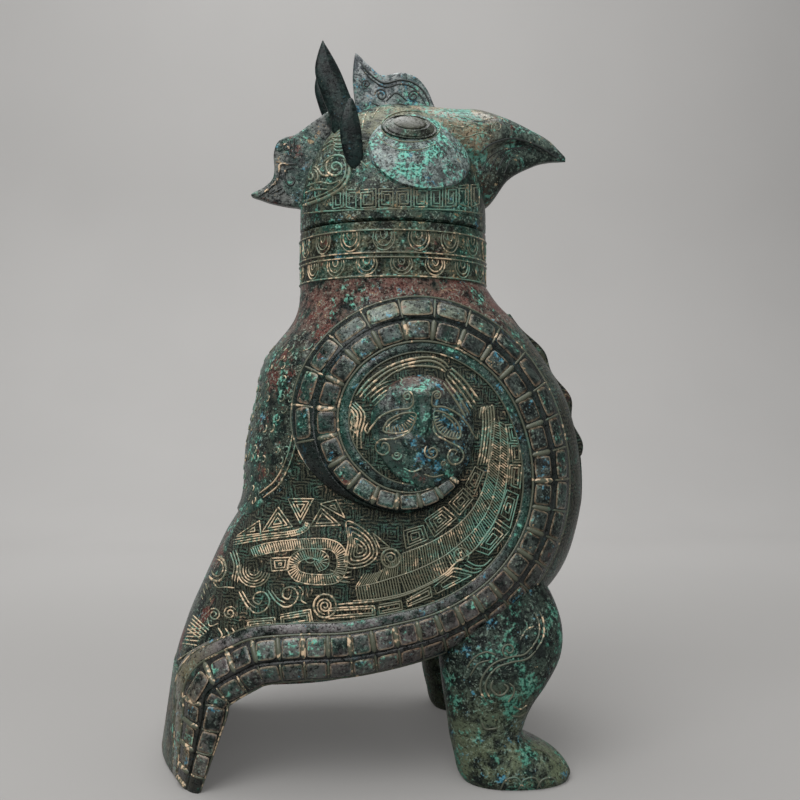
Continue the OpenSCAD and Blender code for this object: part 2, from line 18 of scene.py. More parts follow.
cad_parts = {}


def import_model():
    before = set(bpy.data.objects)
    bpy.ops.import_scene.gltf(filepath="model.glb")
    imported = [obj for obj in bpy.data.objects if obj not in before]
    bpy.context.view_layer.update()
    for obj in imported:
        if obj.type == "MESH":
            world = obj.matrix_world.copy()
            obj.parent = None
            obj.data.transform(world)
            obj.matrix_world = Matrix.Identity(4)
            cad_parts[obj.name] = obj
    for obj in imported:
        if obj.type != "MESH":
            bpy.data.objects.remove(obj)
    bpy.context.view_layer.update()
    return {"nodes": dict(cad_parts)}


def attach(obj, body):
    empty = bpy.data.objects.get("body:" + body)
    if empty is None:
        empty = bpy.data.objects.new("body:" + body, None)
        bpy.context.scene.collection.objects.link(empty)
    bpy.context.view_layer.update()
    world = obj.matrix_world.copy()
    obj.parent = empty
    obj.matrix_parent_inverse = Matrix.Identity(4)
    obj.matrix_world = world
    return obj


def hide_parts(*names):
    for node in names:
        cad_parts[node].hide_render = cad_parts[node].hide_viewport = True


log = logging.getLogger("owl_zun")
Array = np.ndarray
Rgb = tuple[float, float, float]
Number = Union[float, Array]
Key = Union[str, int]
Pairs = Union[Array, Sequence[Sequence[float]]]
# One millimetre in metres
MM = 0.001
# Place of the neck's axis along the bird
NECK_X = 11.75
# Grids of the repeated pieces: sides of a thread, points along a plate, share of its corners cut
THREAD_SIDES = 6
PLATE_SIDE = 9
PLATE_CORNER = 0.10


class Body(Enum):
    """The bodies that the pieces ride on."""

    VESSEL = "vessel"
    HEAD = "head"


class Side(Enum):
    """The bird's right side, which the viewing point faces, and its left."""

    RIGHT = -1.0
    LEFT = 1.0

    @property
    def word(self) -> str:
        """The side's name, as the pieces carry it."""
        return self.name.lower()

    @property
    def flip(self) -> Array:
        """What turns points drawn for the right side into this side's."""
        return np.array([1.0, -self.value, 1.0])


class Slot(Enum):
    """Finishes of the record, passed along with each piece."""

    DARK = "dark_bronze"
    OLIVE = "olive_bronze"
    GREEN = "green_bronze"
    BLUE = "blue_bronze"
    BLACK = "black_bronze"
    GREY = "grey_bronze"


# Curves and surfaces


def smooth(low: float, high: float, value: Array) -> Array:
    """Rises from 0 to 1 with level ends.

    Args:
        low: value where the rise starts.
        high: value where it ends.
        value: where to read it.

    Returns:
        The share, from 0 to 1.
    """
    t = np.clip((np.asarray(value, float) - low) / (high - low), 0.0, 1.0)
    return t * t * (3.0 - 2.0 * t)


def bell(value: Array, half: Number, power: int = 2) -> Array:
    """A hump that is 1 at 0 and falls away past its half width."""
    return np.exp(-((value / half) ** power))


def round_square(angle: Array, power: Array) -> tuple[Array, Array]:
    """Outline of a rounded square: power 2 is an ellipse, more is squarer.

    Args:
        angle: radians round the outline.
        power: its squareness.

    Returns:
        The two coordinates, from -1 to 1.
    """
    c, s = np.cos(angle), np.sin(angle)
    return np.sign(c) * np.abs(c) ** (2.0 / power), np.sign(s) * np.abs(s) ** (2.0 / power)


def catmull(points: Pairs, step: float, closed: bool = False) -> Array:
    """Smooth line through given points.

    Args:
        points: the points, in the plane or in space.
        step: spacing of the samples along the line.
        closed: whether the line returns to its start.

    Returns:
        The samples, one a row.
    """
    p = np.asarray(points, float)
    if len(p) < 3 and not closed:
        count = max(2, int(np.linalg.norm(p[-1] - p[0]) / step) + 1)
        t = np.linspace(0.0, 1.0, count)[:, None]
        return p[0] * (1 - t) + p[-1] * t
    if closed:
        ring = np.vstack([p[-1], p, p[0], p[1]])
    else:
        ring = np.vstack([2 * p[0] - p[1], p, 2 * p[-1] - p[-2]])
    rows = []
    for i in range(len(p) if closed else len(p) - 1):
        a, b, c, d = ring[i : i + 4]
        count = max(1, int(np.linalg.norm(c - b) / step + 0.5))
        t = (np.arange(count) / count)[:, None]
        bend, twist = 2 * a - 5 * b + 4 * c - d, 3 * b - a - 3 * c + d
        rows.append(0.5 * (2 * b + (c - a) * t + bend * t**2 + twist * t**3))
    if not closed:
        rows.append(p[-1:])
    return np.vstack(rows)


def even(points: Array, step: float) -> Array:
    """The same line with evenly spaced samples.

    Args:
        points: samples of the line.
        step: the spacing wanted.

    Returns:
        The new samples.
    """
    run = np.concatenate([[0.0], np.cumsum(np.linalg.norm(np.diff(points, axis=0), axis=1))])
    count = max(2, int(run[-1] / step) + 1)
    where = np.linspace(0.0, run[-1], count)
    return np.stack([np.interp(where, run, points[:, c]) for c in range(points.shape[1])], axis=1)


def headings(points: Array) -> Array:
    """Unit directions along a line, one for each sample."""
    d = np.gradient(points, axis=0)
    return d / np.maximum(1e-9, np.linalg.norm(d, axis=1))[:, None]


def sideways(points: Array) -> Array:
    """Unit directions square to a line in the plane, one for each sample."""
    d = headings(points)
    return np.stack([-d[:, 1], d[:, 0]], axis=1)


def rounded(points: Pairs, step: float) -> Array:
    """Closed smooth outline through points, evenly sampled."""
    return even(catmull(points, 1.0, closed=True), step)


def around(count: int) -> Array:
    """Evenly spaced angles of one full turn, in radians."""
    return np.linspace(0.0, 2 * math.pi, count, endpoint=False)


def xyz(x: Number, y: Number, z: Number) -> Array:
    """Points from their coordinates, which are spread to one shape."""
    return np.stack(np.broadcast_arrays(x, y, z), axis=-1)


def round_neck(r: Number, angle: Array, z: Number) -> Array:
    """Points round the neck's axis by radius, angle and height."""
    return xyz(NECK_X + r * np.cos(angle), r * np.sin(angle), z)


@dataclass(frozen=True)
class Stations:
    """Smooth columns of sizes along a key, such as the sections of the belly by height."""

    rows: tuple[tuple[float, ...], ...]

    def at(self, key: Union[float, Array], column: int) -> Array:
        """Reads one column.

        Args:
            key: where to read, one value or many.
            column: which column, from 1.

        Returns:
            The sizes there.
        """
        table = np.array(self.rows)
        x, y = table[:, 0], table[:, column]
        a = np.maximum(np.arange(len(x)) - 1, 0)
        b = np.minimum(np.arange(len(x)) + 1, len(x) - 1)
        tilt = (y[b] - y[a]) / (x[b] - x[a])
        k = np.asarray(key, float)
        i = np.clip(np.searchsorted(x, k, side="right") - 1, 0, len(x) - 2)
        h = x[i + 1] - x[i]
        t = (k - x[i]) / h
        t2, t3 = t * t, t * t * t
        return (
            (2 * t3 - 3 * t2 + 1) * y[i]
            + (t3 - 2 * t2 + t) * h * tilt[i]
            + (3 * t2 - 2 * t3) * y[i + 1]
            + (t3 - t2) * h * tilt[i + 1]
        )


def inside(outline: Array, x: Array, z: Array) -> Array:
    """How far points lie inside a closed outline, in the plane.

    Args:
        outline: its corners.
        x: first coordinates.
        z: second coordinates.

    Returns:
        The distance from the outline, positive inside and negative outside.
    """
    far = np.full(np.shape(x), 1e9)
    within = np.zeros(np.shape(x), bool)
    for a, b in zip(outline, np.roll(outline, -1, axis=0)):
        d = b - a
        t = np.clip(((x - a[0]) * d[0] + (z - a[1]) * d[1]) / max(1e-9, d @ d), 0.0, 1.0)
        far = np.minimum(far, np.hypot(x - a[0] - t * d[0], z - a[1] - t * d[1]))
        if a[1] != b[1]:
            cross = (a[1] > z) != (b[1] > z)
            within ^= cross & (x < (b[0] - a[0]) * (z - a[1]) / (b[1] - a[1]) + a[0])
    return np.where(within, far, -far)


@dataclass
class Form:
    """A shape under way: its points in millimetres, its faces and any marks on its points."""

    verts: Array
    faces: list[tuple[int, ...]]
    marks: dict[str, Array] = field(default_factory=dict)

    def mirrored(self, side: Side) -> "Form":
        """The form as drawn for the right side, or its mirror image for the left."""
        if side is Side.RIGHT:
            return self
        return Form(self.verts * side.flip, [f[::-1] for f in self.faces], dict(self.marks))

    def with_form(self, other: "Form") -> "Form":
        """This form and another as one, without marks."""
        n = len(self.verts)
        faces = self.faces + [tuple(i + n for i in f) for f in other.faces]
        return Form(np.vstack([self.verts, other.verts]), faces)

    def tree(self) -> BVHTree:
        """A search tree over the form's faces."""
        return BVHTree.FromPolygons(self.verts.tolist(), self.faces)

    def mesh(self, name: str, crease: float = 50.0) -> bpy.types.Mesh:
        """Makes the mesh in metres, smooth but for edges sharper than the crease angle.

        Args:
            name: the mesh's name.
            crease: angle in degrees from which an edge stays sharp.

        Returns:
            The mesh.
        """
        mesh = bpy.data.meshes.new(name)
        mesh.from_pydata((self.verts * MM).tolist(), [], self.faces)
        for mark, values in self.marks.items():
            layer = mesh.attributes.new(mark, "FLOAT", "POINT")
            layer.data.foreach_set("value", np.asarray(values, np.float32))
        mesh.validate()
        mesh.polygons.foreach_set("use_smooth", [True] * len(mesh.polygons))
        mesh.set_sharp_from_angle(angle=math.radians(crease))
        mesh.update()
        return mesh


def quads(rows: int, columns: int, closed: bool) -> list[tuple[int, ...]]:
    """Faces between the rows of a grid of points.

    Args:
        rows: its rows.
        columns: points in a row.
        closed: whether a row's last point joins its first.

    Returns:
        The faces, four corners each.
    """
    j, i = np.meshgrid(np.arange(rows - 1), np.arange(columns if closed else columns - 1), indexing="ij")
    k = (i + 1) % columns
    corners = [j * columns + i, j * columns + k, (j + 1) * columns + k, (j + 1) * columns + i]
    return [tuple(q) for q in np.stack(corners, axis=-1).reshape(-1, 4).tolist()]


def loft(rings: Array, caps: bool = True, inward: bool = False) -> Form:
    """Skins closed rings that follow each other.

    Args:
        rings: points as rings by samples by three.
        caps: whether the first and the last ring are closed.
        inward: turns the faces over.

    Returns:
        The form.
    """
    m, n = rings.shape[:2]
    faces = quads(m, n, True)
    if caps:
        faces += [tuple(range(n - 1, -1, -1)), tuple(range((m - 1) * n, m * n))]
    if inward:
        faces = [f[::-1] for f in faces]
    return Form(rings.reshape(-1, 3), faces)


def strip(grid: Array) -> Form:
    """Skins an open grid of points, as rows by columns by three."""
    return Form(grid.reshape(-1, 3), quads(*grid.shape[:2], False))


def fan(middle: Array, rings: Array, flip: bool = False) -> Form:
    """Skins rings round a middle point, out to the rim.

    Args:
        middle: the middle point.
        rings: points as rings by samples by three, the innermost first.
        flip: turns the faces over.

    Returns:
        The form.
    """
    m, n = rings.shape[:2]
    faces = [(0, 1 + (i + 1) % n, 1 + i) for i in range(n)]
    faces += [tuple(1 + q for q in f) for f in quads(m, n, True)]
    if flip:
        faces = [f[::-1] for f in faces]
    return Form(np.vstack([middle[None, :], rings.reshape(-1, 3)]), faces)


# Node wiring


class Sock:
    """A node's output that takes part in plain arithmetic."""

    def __init__(self, wiring: "Wiring", socket: bpy.types.NodeSocket) -> None:
        """Keeps the socket and the wiring it belongs to."""
        self.wiring = wiring
        self.socket = socket

    def math(self, operation: str, other: Union["Sock", float], swap: bool = False) -> "Sock":
        """Adds one Math node.

        Args:
            operation: the node's operation.
            other: the second operand.
            swap: puts the other operand first.

        Returns:
            The node's output.
        """
        pair = (other, self) if swap else (self, other)
        node = self.wiring.add("ShaderNodeMath", {0: pair[0], 1: pair[1]}, operation=operation)
        return Sock(self.wiring, node.outputs[0])

    def __add__(self, other: Union["Sock", float]) -> "Sock":
        """Sum."""
        return self.math("ADD", other)

    def __sub__(self, other: Union["Sock", float]) -> "Sock":
        """Difference."""
        return self.math("SUBTRACT", other)

    def __rsub__(self, other: float) -> "Sock":
        """Difference from a number."""
        return self.math("SUBTRACT", other, swap=True)

    def __mul__(self, other: Union["Sock", float]) -> "Sock":
        """Product."""
        return self.math("MULTIPLY", other)

    def __pow__(self, other: float) -> "Sock":
        """Power."""
        return self.math("POWER", other)

    def larger(self, other: Union["Sock", float]) -> "Sock":
        """The larger of two values."""
        return self.math("MAXIMUM", other)

    def size(self) -> "Sock":
        """The value without its sign."""
        return self.math("ABSOLUTE", 0.0)

    def step(self, low: float, high: float) -> "Sock":
        """Rises from 0 to 1 between two values, with level ends."""
        sockets = {"Value": self, "From Min": low, "From Max": high, "To Min": 0.0, "To Max": 1.0}
        node = self.wiring.add("ShaderNodeMapRange", sockets, interpolation_type="SMOOTHSTEP")
        return Sock(self.wiring, node.outputs[0])


Feed = Union[Sock, float, int, bool, str, tuple, bpy.types.NodeSocket]


class Wiring:
    """One node tree, and the one way that a node gets into it."""

    def __init__(self, tree: bpy.types.NodeTree) -> None:
        """Keeps the tree."""
        self.tree = tree

    def add(
        self, kind: str, sockets: Optional[dict[Key, Feed]] = None, **settings: object
    ) -> bpy.types.Node:
        """Adds a node, sets it up and feeds its sockets.

        Args:
            kind: the node's type.
            sockets: values or links by socket identifier, name or number.
            settings: the node's own properties, set first.

        Returns:
            The node.
        """
        node = self.tree.nodes.new(kind)
        for key, value in settings.items():
            setattr(node, key, value)
        for key, value in (sockets or {}).items():
            self.feed(self.pick(node.inputs, key), value)
        return node

    @staticmethod
    def pick(sockets: Sequence[bpy.types.NodeSocket], key: Key) -> bpy.types.NodeSocket:
        """Finds a socket by its identifier, name or number."""
        for socket in sockets:
            if socket.identifier == key:
                return socket
        return sockets[key]

    def feed(self, socket: bpy.types.NodeSocket, value: Feed) -> None:
        """Links an output to an input, or sets the input's value."""
        if isinstance(value, Sock):
            value = value.socket
        if isinstance(value, bpy.types.NodeSocket):
            self.tree.links.new(value, socket)
        elif isinstance(value, tuple) and len(value) == 3 and socket.type == "RGBA":
            socket.default_value = (*value, 1.0)
        else:
            socket.default_value = value

    def out(self, node: bpy.types.Node, key: Key = 0) -> Sock:
        """One of a node's outputs, ready for arithmetic."""
        return Sock(self, self.pick(node.outputs, key))

    def axis(self, place: Sock, number: int) -> Sock:
        """One coordinate of a place."""
        return self.out(self.add("ShaderNodeSeparateXYZ", {0: place}), number)

    def mark(self, name: str) -> Sock:
        """A mark that the mesh's points carry."""
        return self.out(self.add("ShaderNodeAttribute", attribute_name=name), "Fac")

    def noise(self, place: Sock, scale: float, detail: float, rough: float, seed: float) -> Sock:
        """Cloudy noise in space.

        Args:
            place: the coordinates.
            scale: its scale, in features a metre.
            detail: its octaves.
            rough: how strong the finer octaves are.
            seed: which noise.

        Returns:
            The noise, about 0.5 in the middle.
        """
        sockets = {"Vector": place, "W": seed, "Scale": scale, "Detail": detail, "Roughness": rough}
        return self.out(self.add("ShaderNodeTexNoise", sockets, noise_dimensions="4D"), "Fac")

    def blend(self, share: Feed, under: Feed, over: Feed) -> Sock:
        """Lays one colour over another by a share."""
        sockets = {"Factor_Float": share, "A_Color": under, "B_Color": over}
        return self.out(self.add("ShaderNodeMix", sockets, data_type="RGBA"), "Result_Color")

    def surface(self, sockets: dict[Key, Feed]) -> None:
        """Ends a material with one shader."""
        shader = self.add("ShaderNodeBsdfPrincipled", sockets)
        self.add("ShaderNodeOutputMaterial", {"Surface": shader.outputs["BSDF"]})


# Finishes


@dataclass(frozen=True)
class Zone:
    """A tint that takes over part of a surface as one coordinate goes from low to high, in metres."""

    axis: int
    low: float
    high: float
    tint: Rgb
    share: float


def open_material(name: str) -> tuple[bpy.types.Material, Wiring, Sock]:
    """Starts a material.

    Args:
        name: its name.

    Returns:
        The material, its wiring and the object's coordinates.
    """
    material = bpy.data.materials.new(name)
    material.use_nodes = True
    material.node_tree.nodes.clear()
    w = Wiring(material.node_tree)
    return material, w, w.out(w.add("ShaderNodeTexCoord"), "Object")


def cover(noise: Sock, share: float, before: float, after: float) -> Sock:
    """Mask of about a share of a surface, where a noise is high.

    Args:
        noise: the noise.
        share: the share of the surface.
        before: how far below its level the mask starts.
        after: how far above its level the mask is full.

    Returns:
        The mask.
    """
    level = 0.66 - 0.32 * share
    return noise.step(level - before, level + after)


def dimmed(tint: Rgb, share: float) -> Rgb:
    """A colour at a share of its strength."""
    return tuple(share * c for c in tint)


# Noises of a patina: features a metre, octaves, strength of the finer ones and step of the seed
PATINA_NOISES = (
    (15.0, 4.0, 0.55, 0.0),
    (58.0, 5.0, 0.70, 1.0),
    (70.0, 5.0, 0.70, 5.0),
    (36.0, 5.0, 0.68, 7.0),
    (120.0, 4.0, 0.70, 9.0),
    (420.0, 1.5, 0.66, 2.0),
    (900.0, 1.0, 0.6, 3.0),
)


@dataclass(frozen=True)
class Patina:
    """Bronze under its corrosion: how much of each mineral lies on the dark ground."""

    name: str
    ground: Rgb = (0.006, 0.010, 0.009)
    ground_two: Rgb = (0.030, 0.046, 0.036)
    malachite: float = 0.4
    azurite: float = 0.15
    cuprite: float = 0.15
    ochre: float = 0.08
    malachite_dark: Rgb = (0.018, 0.092, 0.068)
    malachite_pale: Rgb = (0.135, 0.410, 0.310)
    azurite_tint: Rgb = (0.010, 0.060, 0.100)
    azurite_pale: Rgb = (0.040, 0.200, 0.290)
    cuprite_tint: Rgb = (0.090, 0.028, 0.022)
    ochre_tint: Rgb = (0.330, 0.230, 0.125)
    rim_tint: Rgb = (0.430, 0.300, 0.190)
    rim_share: float = 0.0
    fleck_tint: Rgb = (0.360, 0.460, 0.370)
    fleck: float = 0.25
    shaded: bool = False
    zones: tuple[Zone, ...] = ()
    fret: float = 0.0
    fret_axis: int = 0
    fret_from: tuple[float, float] = (-2.0, -1.0)
    fret_dull: Rgb = (0.046, 0.048, 0.032)
    fret_mint: Rgb = (0.042, 0.082, 0.060)
    fret_pale: Rgb = (0.230, 0.170, 0.108)
    gloss: float = 0.35
    roughness: float = 0.40
    relief: float = 0.65
    seed: float = 0.0

    def fret_lines(self, w: Wiring, place: Sock, wobble: tuple[Sock, Sock]) -> tuple[Sock, Sock]:
        """Rows of small squared spirals, as cast over a ground.

        Args:
            w: the material's wiring.
            place: the coordinates.
            wobble: two noises that make the hand uneven.

        Returns:
            A mask of the raised lines and one of the grooves between them.
        """
        across = w.axis(place, self.fret_axis) * (1.0 / self.fret) + wobble[0] * 0.7
        up = w.axis(place, 2) * (1.0 / self.fret) + wobble[1] * 0.7
        u = (across + up.math("FLOOR", 0.0) * 0.37).math("FRACT", 0.0) * 2.0 - 1.0
        v = up.math("FRACT", 0.0) * 2.0 - 1.0
        wide, high = u.size(), v.size()
        flat = wide.math("GREATER_THAN", high)
        beside = flat * u.math("GREATER_THAN", 0.0) * 0.5
        quarter = beside + (1.0 - flat) * (v.math("GREATER_THAN", 0.0) * 0.5 + 0.25)
        turn = (wide.larger(high) * 3.0 + quarter).math("FRACT", 0.0)
        begun = w.axis(place, 0).step(*self.fret_from)
        groove = (turn * 2.0 - 1.0).size().step(0.36, 0.62)
        return (1.0 - groove) * begun, groove * begun

    def material(self) -> bpy.types.Material:
        """Wires the finish.

        Returns:
            The material.
        """
        material, w, place = open_material(self.name)
        broad, patch, other, third, fourth, crumb, grit = (
            w.noise(place, scale, detail, rough, self.seed + step)
            for scale, detail, rough, step in PATINA_NOISES
        )
        green = cover(patch * 0.64 + crumb * 0.26 + broad * 0.10, self.malachite, 0.015, 0.055)
        blue = cover(other * 0.74 + crumb * 0.26, self.azurite, 0.01, 0.05)
        red = cover(third * 0.80 + crumb * 0.20, self.cuprite, 0.0, 0.05)
        sand = cover(fourth * 0.80 + grit * 0.20, self.ochre, 0.0, 0.04)
        fleck = (grit * 0.5 + crumb * 0.5).step(0.545, 0.585) * other.step(0.42, 0.53)
        pit = 1.0 - (grit * 0.40 + crumb * 0.60).step(0.39, 0.46)

        colour = w.blend(fourth.step(0.45, 0.56), self.ground, self.ground_two)
        colour = w.blend((patch * 0.5 + broad * 0.5).step(0.48, 0.57) * 0.42, colour, self.malachite_dark)
        # Zone tints, broken into patches by the worn mask: most are the patina of one region, but some are
        # painted sheen, a painted highlight or painted shade, as noted in the finishes.
        for zone in self.zones:
            here = w.axis(place, zone.axis).step(zone.low, zone.high)
            worn = (third * 0.5 + fourth * 0.5).step(0.42, 0.56)
            colour = w.blend(here * worn * zone.share, colour, zone.tint)
        colour = w.blend(red * 0.9, colour, self.cuprite_tint)
        scale = w.blend(crumb.step(0.45, 0.60), self.azurite_tint, self.azurite_pale)
        colour = w.blend(blue * 0.9, colour, scale)
        scale = w.blend(crumb.step(0.42, 0.58), self.malachite_dark, self.malachite_pale)
        colour = w.blend(green * 0.94, colour, scale)
        colour = w.blend(sand * 0.85, colour, self.ochre_tint)
        colour = w.blend(fleck * self.fleck, colour, self.fleck_tint)
        colour = w.blend(pit * 0.7, colour, dimmed(self.ground, 0.25))
        # Painted shade: the band is darkened in the rows under the plates, so the gaps between the plates
        # look shadowed.
        if self.shaded:
            colour = w.blend(w.mark("shade") * 0.85, colour, dimmed(self.ground, 0.5))
        height = crumb * 0.70 + grit * 0.12 + green * 0.20 - pit * 0.30
        if self.fret > 0.0:
            line, groove = self.fret_lines(w, place, (patch, other))
            tone = w.blend(other.step(0.50, 0.58), self.fret_dull, self.fret_mint)
            tone = w.blend((third * 0.6 + crumb * 0.4).step(0.54, 0.62), tone, self.fret_pale)
            colour = w.blend(groove * 0.7, colour, dimmed(self.ground, 0.4))
            colour = w.blend(line * (1.0 - green * 0.5) * 0.85, colour, tone)
            height = height + line * 0.6
        if self.rim_share > 0.0:
            worn = (fourth * 0.5 + crumb * 0.5).step(0.60 - 0.25 * self.rim_share, 0.60)
            colour = w.blend(w.mark("rim").step(0.60, 0.84) * worn * 0.85, colour, self.rim_tint)

        bump = w.add("ShaderNodeBump", {"Strength": self.relief, "Distance": 0.0020, "Height": height})
        w.surface(
            {
                "Base Color": colour,
                "Roughness": (crumb - 0.5) * 0.35 + green * 0.16 + sand * 0.14 + self.roughness,
                "Normal": bump.outputs["Normal"],
                "Specular IOR Level": 0.12,
                "Coat Weight": broad.step(0.38, 0.60) * (1.0 - pit) * (1.0 - green * 0.5) * self.gloss,
                "Coat Roughness": 0.22,
                "Coat IOR": 1.38,
            }
        )
        return material


@dataclass(frozen=True)
class ThreadFinish:
    """Raised casting lines, worn pale on top and green or dark where dirt has settled."""

    name: str
    pale: Rgb = (0.620, 0.460, 0.300)
    mint: Rgb = (0.120, 0.270, 0.205)
    dull: Rgb = (0.120, 0.122, 0.078)
    worn: float = 0.42
    green: float = 0.55
    rear: float = 0.05
    roughness: float = 0.46
    seed: float = 0.0

    def material(self) -> bpy.types.Material:
        """Wires the finish.

        Returns:
            The material.
        """
        material, w, place = open_material(self.name)
        patch = w.noise(place, 48.0, 5.0, 0.62, self.seed)
        crumb = w.noise(place, 330.0, 1.5, 0.65, self.seed + 2.0)
        other = w.noise(place, 30.0, 5.0, 0.62, self.seed + 4.0)
        green = cover(other * 0.7 + crumb * 0.3, self.green, 0.0, 0.08)
        rear = 1.0 - w.axis(place, 0).step(-0.09, 0.03)
        worn = cover(patch * 0.55 + crumb * 0.45 + rear * self.rear, self.worn, 0.0, 0.06)
        colour = w.blend(green * 0.85, self.dull, self.mint)
        colour = w.blend(worn * 0.9, colour, self.pale)
        bump = w.add("ShaderNodeBump", {"Strength": 0.2, "Distance": 0.0005, "Height": crumb})
        rough = (crumb - 0.5) * 0.3 + self.roughness
        w.surface({"Base Color": colour, "Roughness": rough, "Normal": bump.outputs["Normal"]})
        return material


@dataclass(frozen=True)
class Backdrop:
    """Matt studio paper with a faint mottle, painted darker on the near floor as painted shade that lifts
    towards the wall.
    """

    name: str
    tint: Rgb = (0.372, 0.365, 0.356)
    # Painted shade: the near floor is darker than the wall's tint.
    floor: Rgb = (0.240, 0.234, 0.227)

    def material(self) -> bpy.types.Material:
        """Wires the finish.

        Returns:
            The material.
        """
        material, w, place = open_material(self.name)
        cloud = w.noise(place, 2.0, 3.0, 0.5, 4.0)
        wall = w.blend(cloud.step(0.35, 0.65), dimmed(self.tint, 0.95), self.tint)
        # Darker on the near floor and lighter towards the backdrop: painted shade and light on one paper.
        colour = w.blend(w.axis(place, 1).step(0.1, 1.0), self.floor, wall)
        ray = w.add("ShaderNodeLightPath")
        mirrored = w.out(ray, "Is Glossy Ray").larger(w.out(ray, "Is Transmission Ray"))
        seen = w.out(ray, "Is Camera Ray").larger(mirrored)
        w.surface(
            {
                "Base Color": colour,
                "Roughness": 0.75,
                "Specular IOR Level": 0.2,
                "Emission Color": w.blend(seen, (0.0, 0.0, 0.0), self.tint),
                "Emission Strength": 0.20,
            }
        )
        return material


# Geometry Nodes


class Grown:
    """A Geometry Nodes tree with named inputs, that turns marked points into a plain mesh."""

    def __init__(self, name: str, sizes: dict[str, float], counts: dict[str, int]) -> None:
        """Opens the tree.

        Args:
            name: the tree's name.
            sizes: its length inputs with their defaults.
            counts: its whole-number inputs with their defaults.
        """
        self.tree = bpy.data.node_groups.new(name, "GeometryNodeTree")
        face = self.tree.interface
        face.new_socket("Geometry", in_out="INPUT", socket_type="NodeSocketGeometry")
        for key, value in sizes.items():
            face.new_socket(key, in_out="INPUT", socket_type="NodeSocketFloat").default_value = value
        for key, value in counts.items():
            face.new_socket(key, in_out="INPUT", socket_type="NodeSocketInt").default_value = value
        face.new_socket("Finish", in_out="INPUT", socket_type="NodeSocketMaterial")
        face.new_socket("Geometry", in_out="OUTPUT", socket_type="NodeSocketGeometry")
        self.wiring = Wiring(self.tree)
        self.given = self.wiring.add("NodeGroupInput")

    def close(self, geometry: bpy.types.NodeSocket) -> None:
        """Realizes, smooths and paints the result, and ends the tree."""
        w = self.wiring
        real = w.add("GeometryNodeRealizeInstances", {"Geometry": geometry})
        soft = w.add("GeometryNodeSetShadeSmooth", {"Geometry": real.outputs[0]})
        finish = self.given.outputs["Finish"]
        paint = w.add("GeometryNodeSetMaterial", {"Geometry": soft.outputs[0], "Material": finish})
        w.add("NodeGroupOutput", {"Geometry": paint.outputs[0]})

    def named(self, mark: str, kind: str) -> bpy.types.NodeSocket:
        """Reads a mark that the points carry."""
        node = self.wiring.add("GeometryNodeInputNamedAttribute", {"Name": mark}, data_type=kind)
        return node.outputs["Attribute"]

    def grow(self, name: str, source: bpy.types.Mesh, values: dict[str, object]) -> bpy.types.Mesh:
        """Runs the tree on a mesh of points or edges.

        Args:
            name: the result's name.
            source: the mesh it starts from.
            values: input values by name.

        Returns:
            The plain mesh.
        """
        holder = bpy.data.objects.new(name + "_source", source)
        bpy.context.scene.collection.objects.link(holder)
        grower = holder.modifiers.new("grow", "NODES")
        grower.node_group = self.tree
        for item in self.tree.interface.items_tree:
            if item.in_out == "INPUT" and item.name in values:
                grower[item.identifier] = values[item.name]
        graph = bpy.context.evaluated_depsgraph_get()
        mesh = bpy.data.meshes.new_from_object(holder.evaluated_get(graph))
        holder.modifiers.remove(grower)
        bpy.data.objects.remove(holder)
        mesh.name = name
        return mesh


class ThreadTree(Grown):
    """Sweeps a round thread along drawn lines."""

    def __init__(self) -> None:
        """Builds the tree."""
        super().__init__("thread", {"Thread radius": 0.0006}, {"Thread sides": THREAD_SIDES})
        w, given = self.wiring, self.given.outputs
        lines = w.add("GeometryNodeMeshToCurve", {"Mesh": given["Geometry"]})
        ring = w.add(
            "GeometryNodeCurvePrimitiveCircle",
            {"Resolution": given["Thread sides"], "Radius": given["Thread radius"]},
            mode="RADIUS",
        )
        swept = w.add(
            "GeometryNodeCurveToMesh",
            {
                "Curve": lines.outputs[0],
                "Profile Curve": ring.outputs[0],
                "Scale": self.named("girth", "FLOAT"),
                "Fill Caps": True,
            },
        )
        self.close(swept.outputs[0])


class PlateTree(Grown):
    """Sets one domed, round-cornered plate on each point."""

    def __init__(self) -> None:
        """Builds the tree."""
        super().__init__("plate", {"Corner": PLATE_CORNER}, {"Plate vertices": PLATE_SIDE})
        w, given = self.wiring, self.given.outputs
        side = given["Plate vertices"]
        sheet = w.add(
            "GeometryNodeMeshGrid", {"Size X": 2.0, "Size Y": 2.0, "Vertices X": side, "Vertices Y": side}
        )
        place = w.out(w.add("GeometryNodeInputPosition"))
        u, v = (c * (2.0 - c.size()) for c in (w.axis(place, 0), w.axis(place, 1)))
        corner = Sock(w, given["Corner"])
        across = u * (1.0 - corner * (v**4.0))
        along = v * (1.0 - corner * (u**4.0))
        dome = (1.0 - u.size() ** 9.0) * (1.0 - v.size() ** 9.0)
        where = w.add("ShaderNodeCombineXYZ", {"X": across * 0.5, "Y": along * 0.5, "Z": dome - 0.35})
        shaped = w.add(
            "GeometryNodeSetPosition", {"Geometry": sheet.outputs[0], "Position": where.outputs[0]}
        )
        marked = w.add(
            "GeometryNodeStoreNamedAttribute",
            {"Geometry": shaped.outputs[0], "Name": "rim", "Value": u.size().larger(v.size())},
            data_type="FLOAT",
            domain="POINT",
        )
        facing, ahead = self.named("facing", "FLOAT_VECTOR"), self.named("along", "FLOAT_VECTOR")
        upright = w.add("FunctionNodeAlignRotationToVector", {"Vector": facing}, axis="Z")
        turned = w.add(
            "FunctionNodeAlignRotationToVector",
            {"Rotation": upright.outputs[0], "Vector": ahead},
            axis="X",
            pivot_axis="Z",
        )
        spread = w.add(
            "GeometryNodeInstanceOnPoints",
            {
                "Points": given["Geometry"],
                "Instance": marked.outputs[0],
                "Rotation": turned.outputs[0],
                "Scale": self.named("size", "FLOAT_VECTOR"),
            },
        )
        self.close(spread.outputs[0])


# Drawing on the surfaces


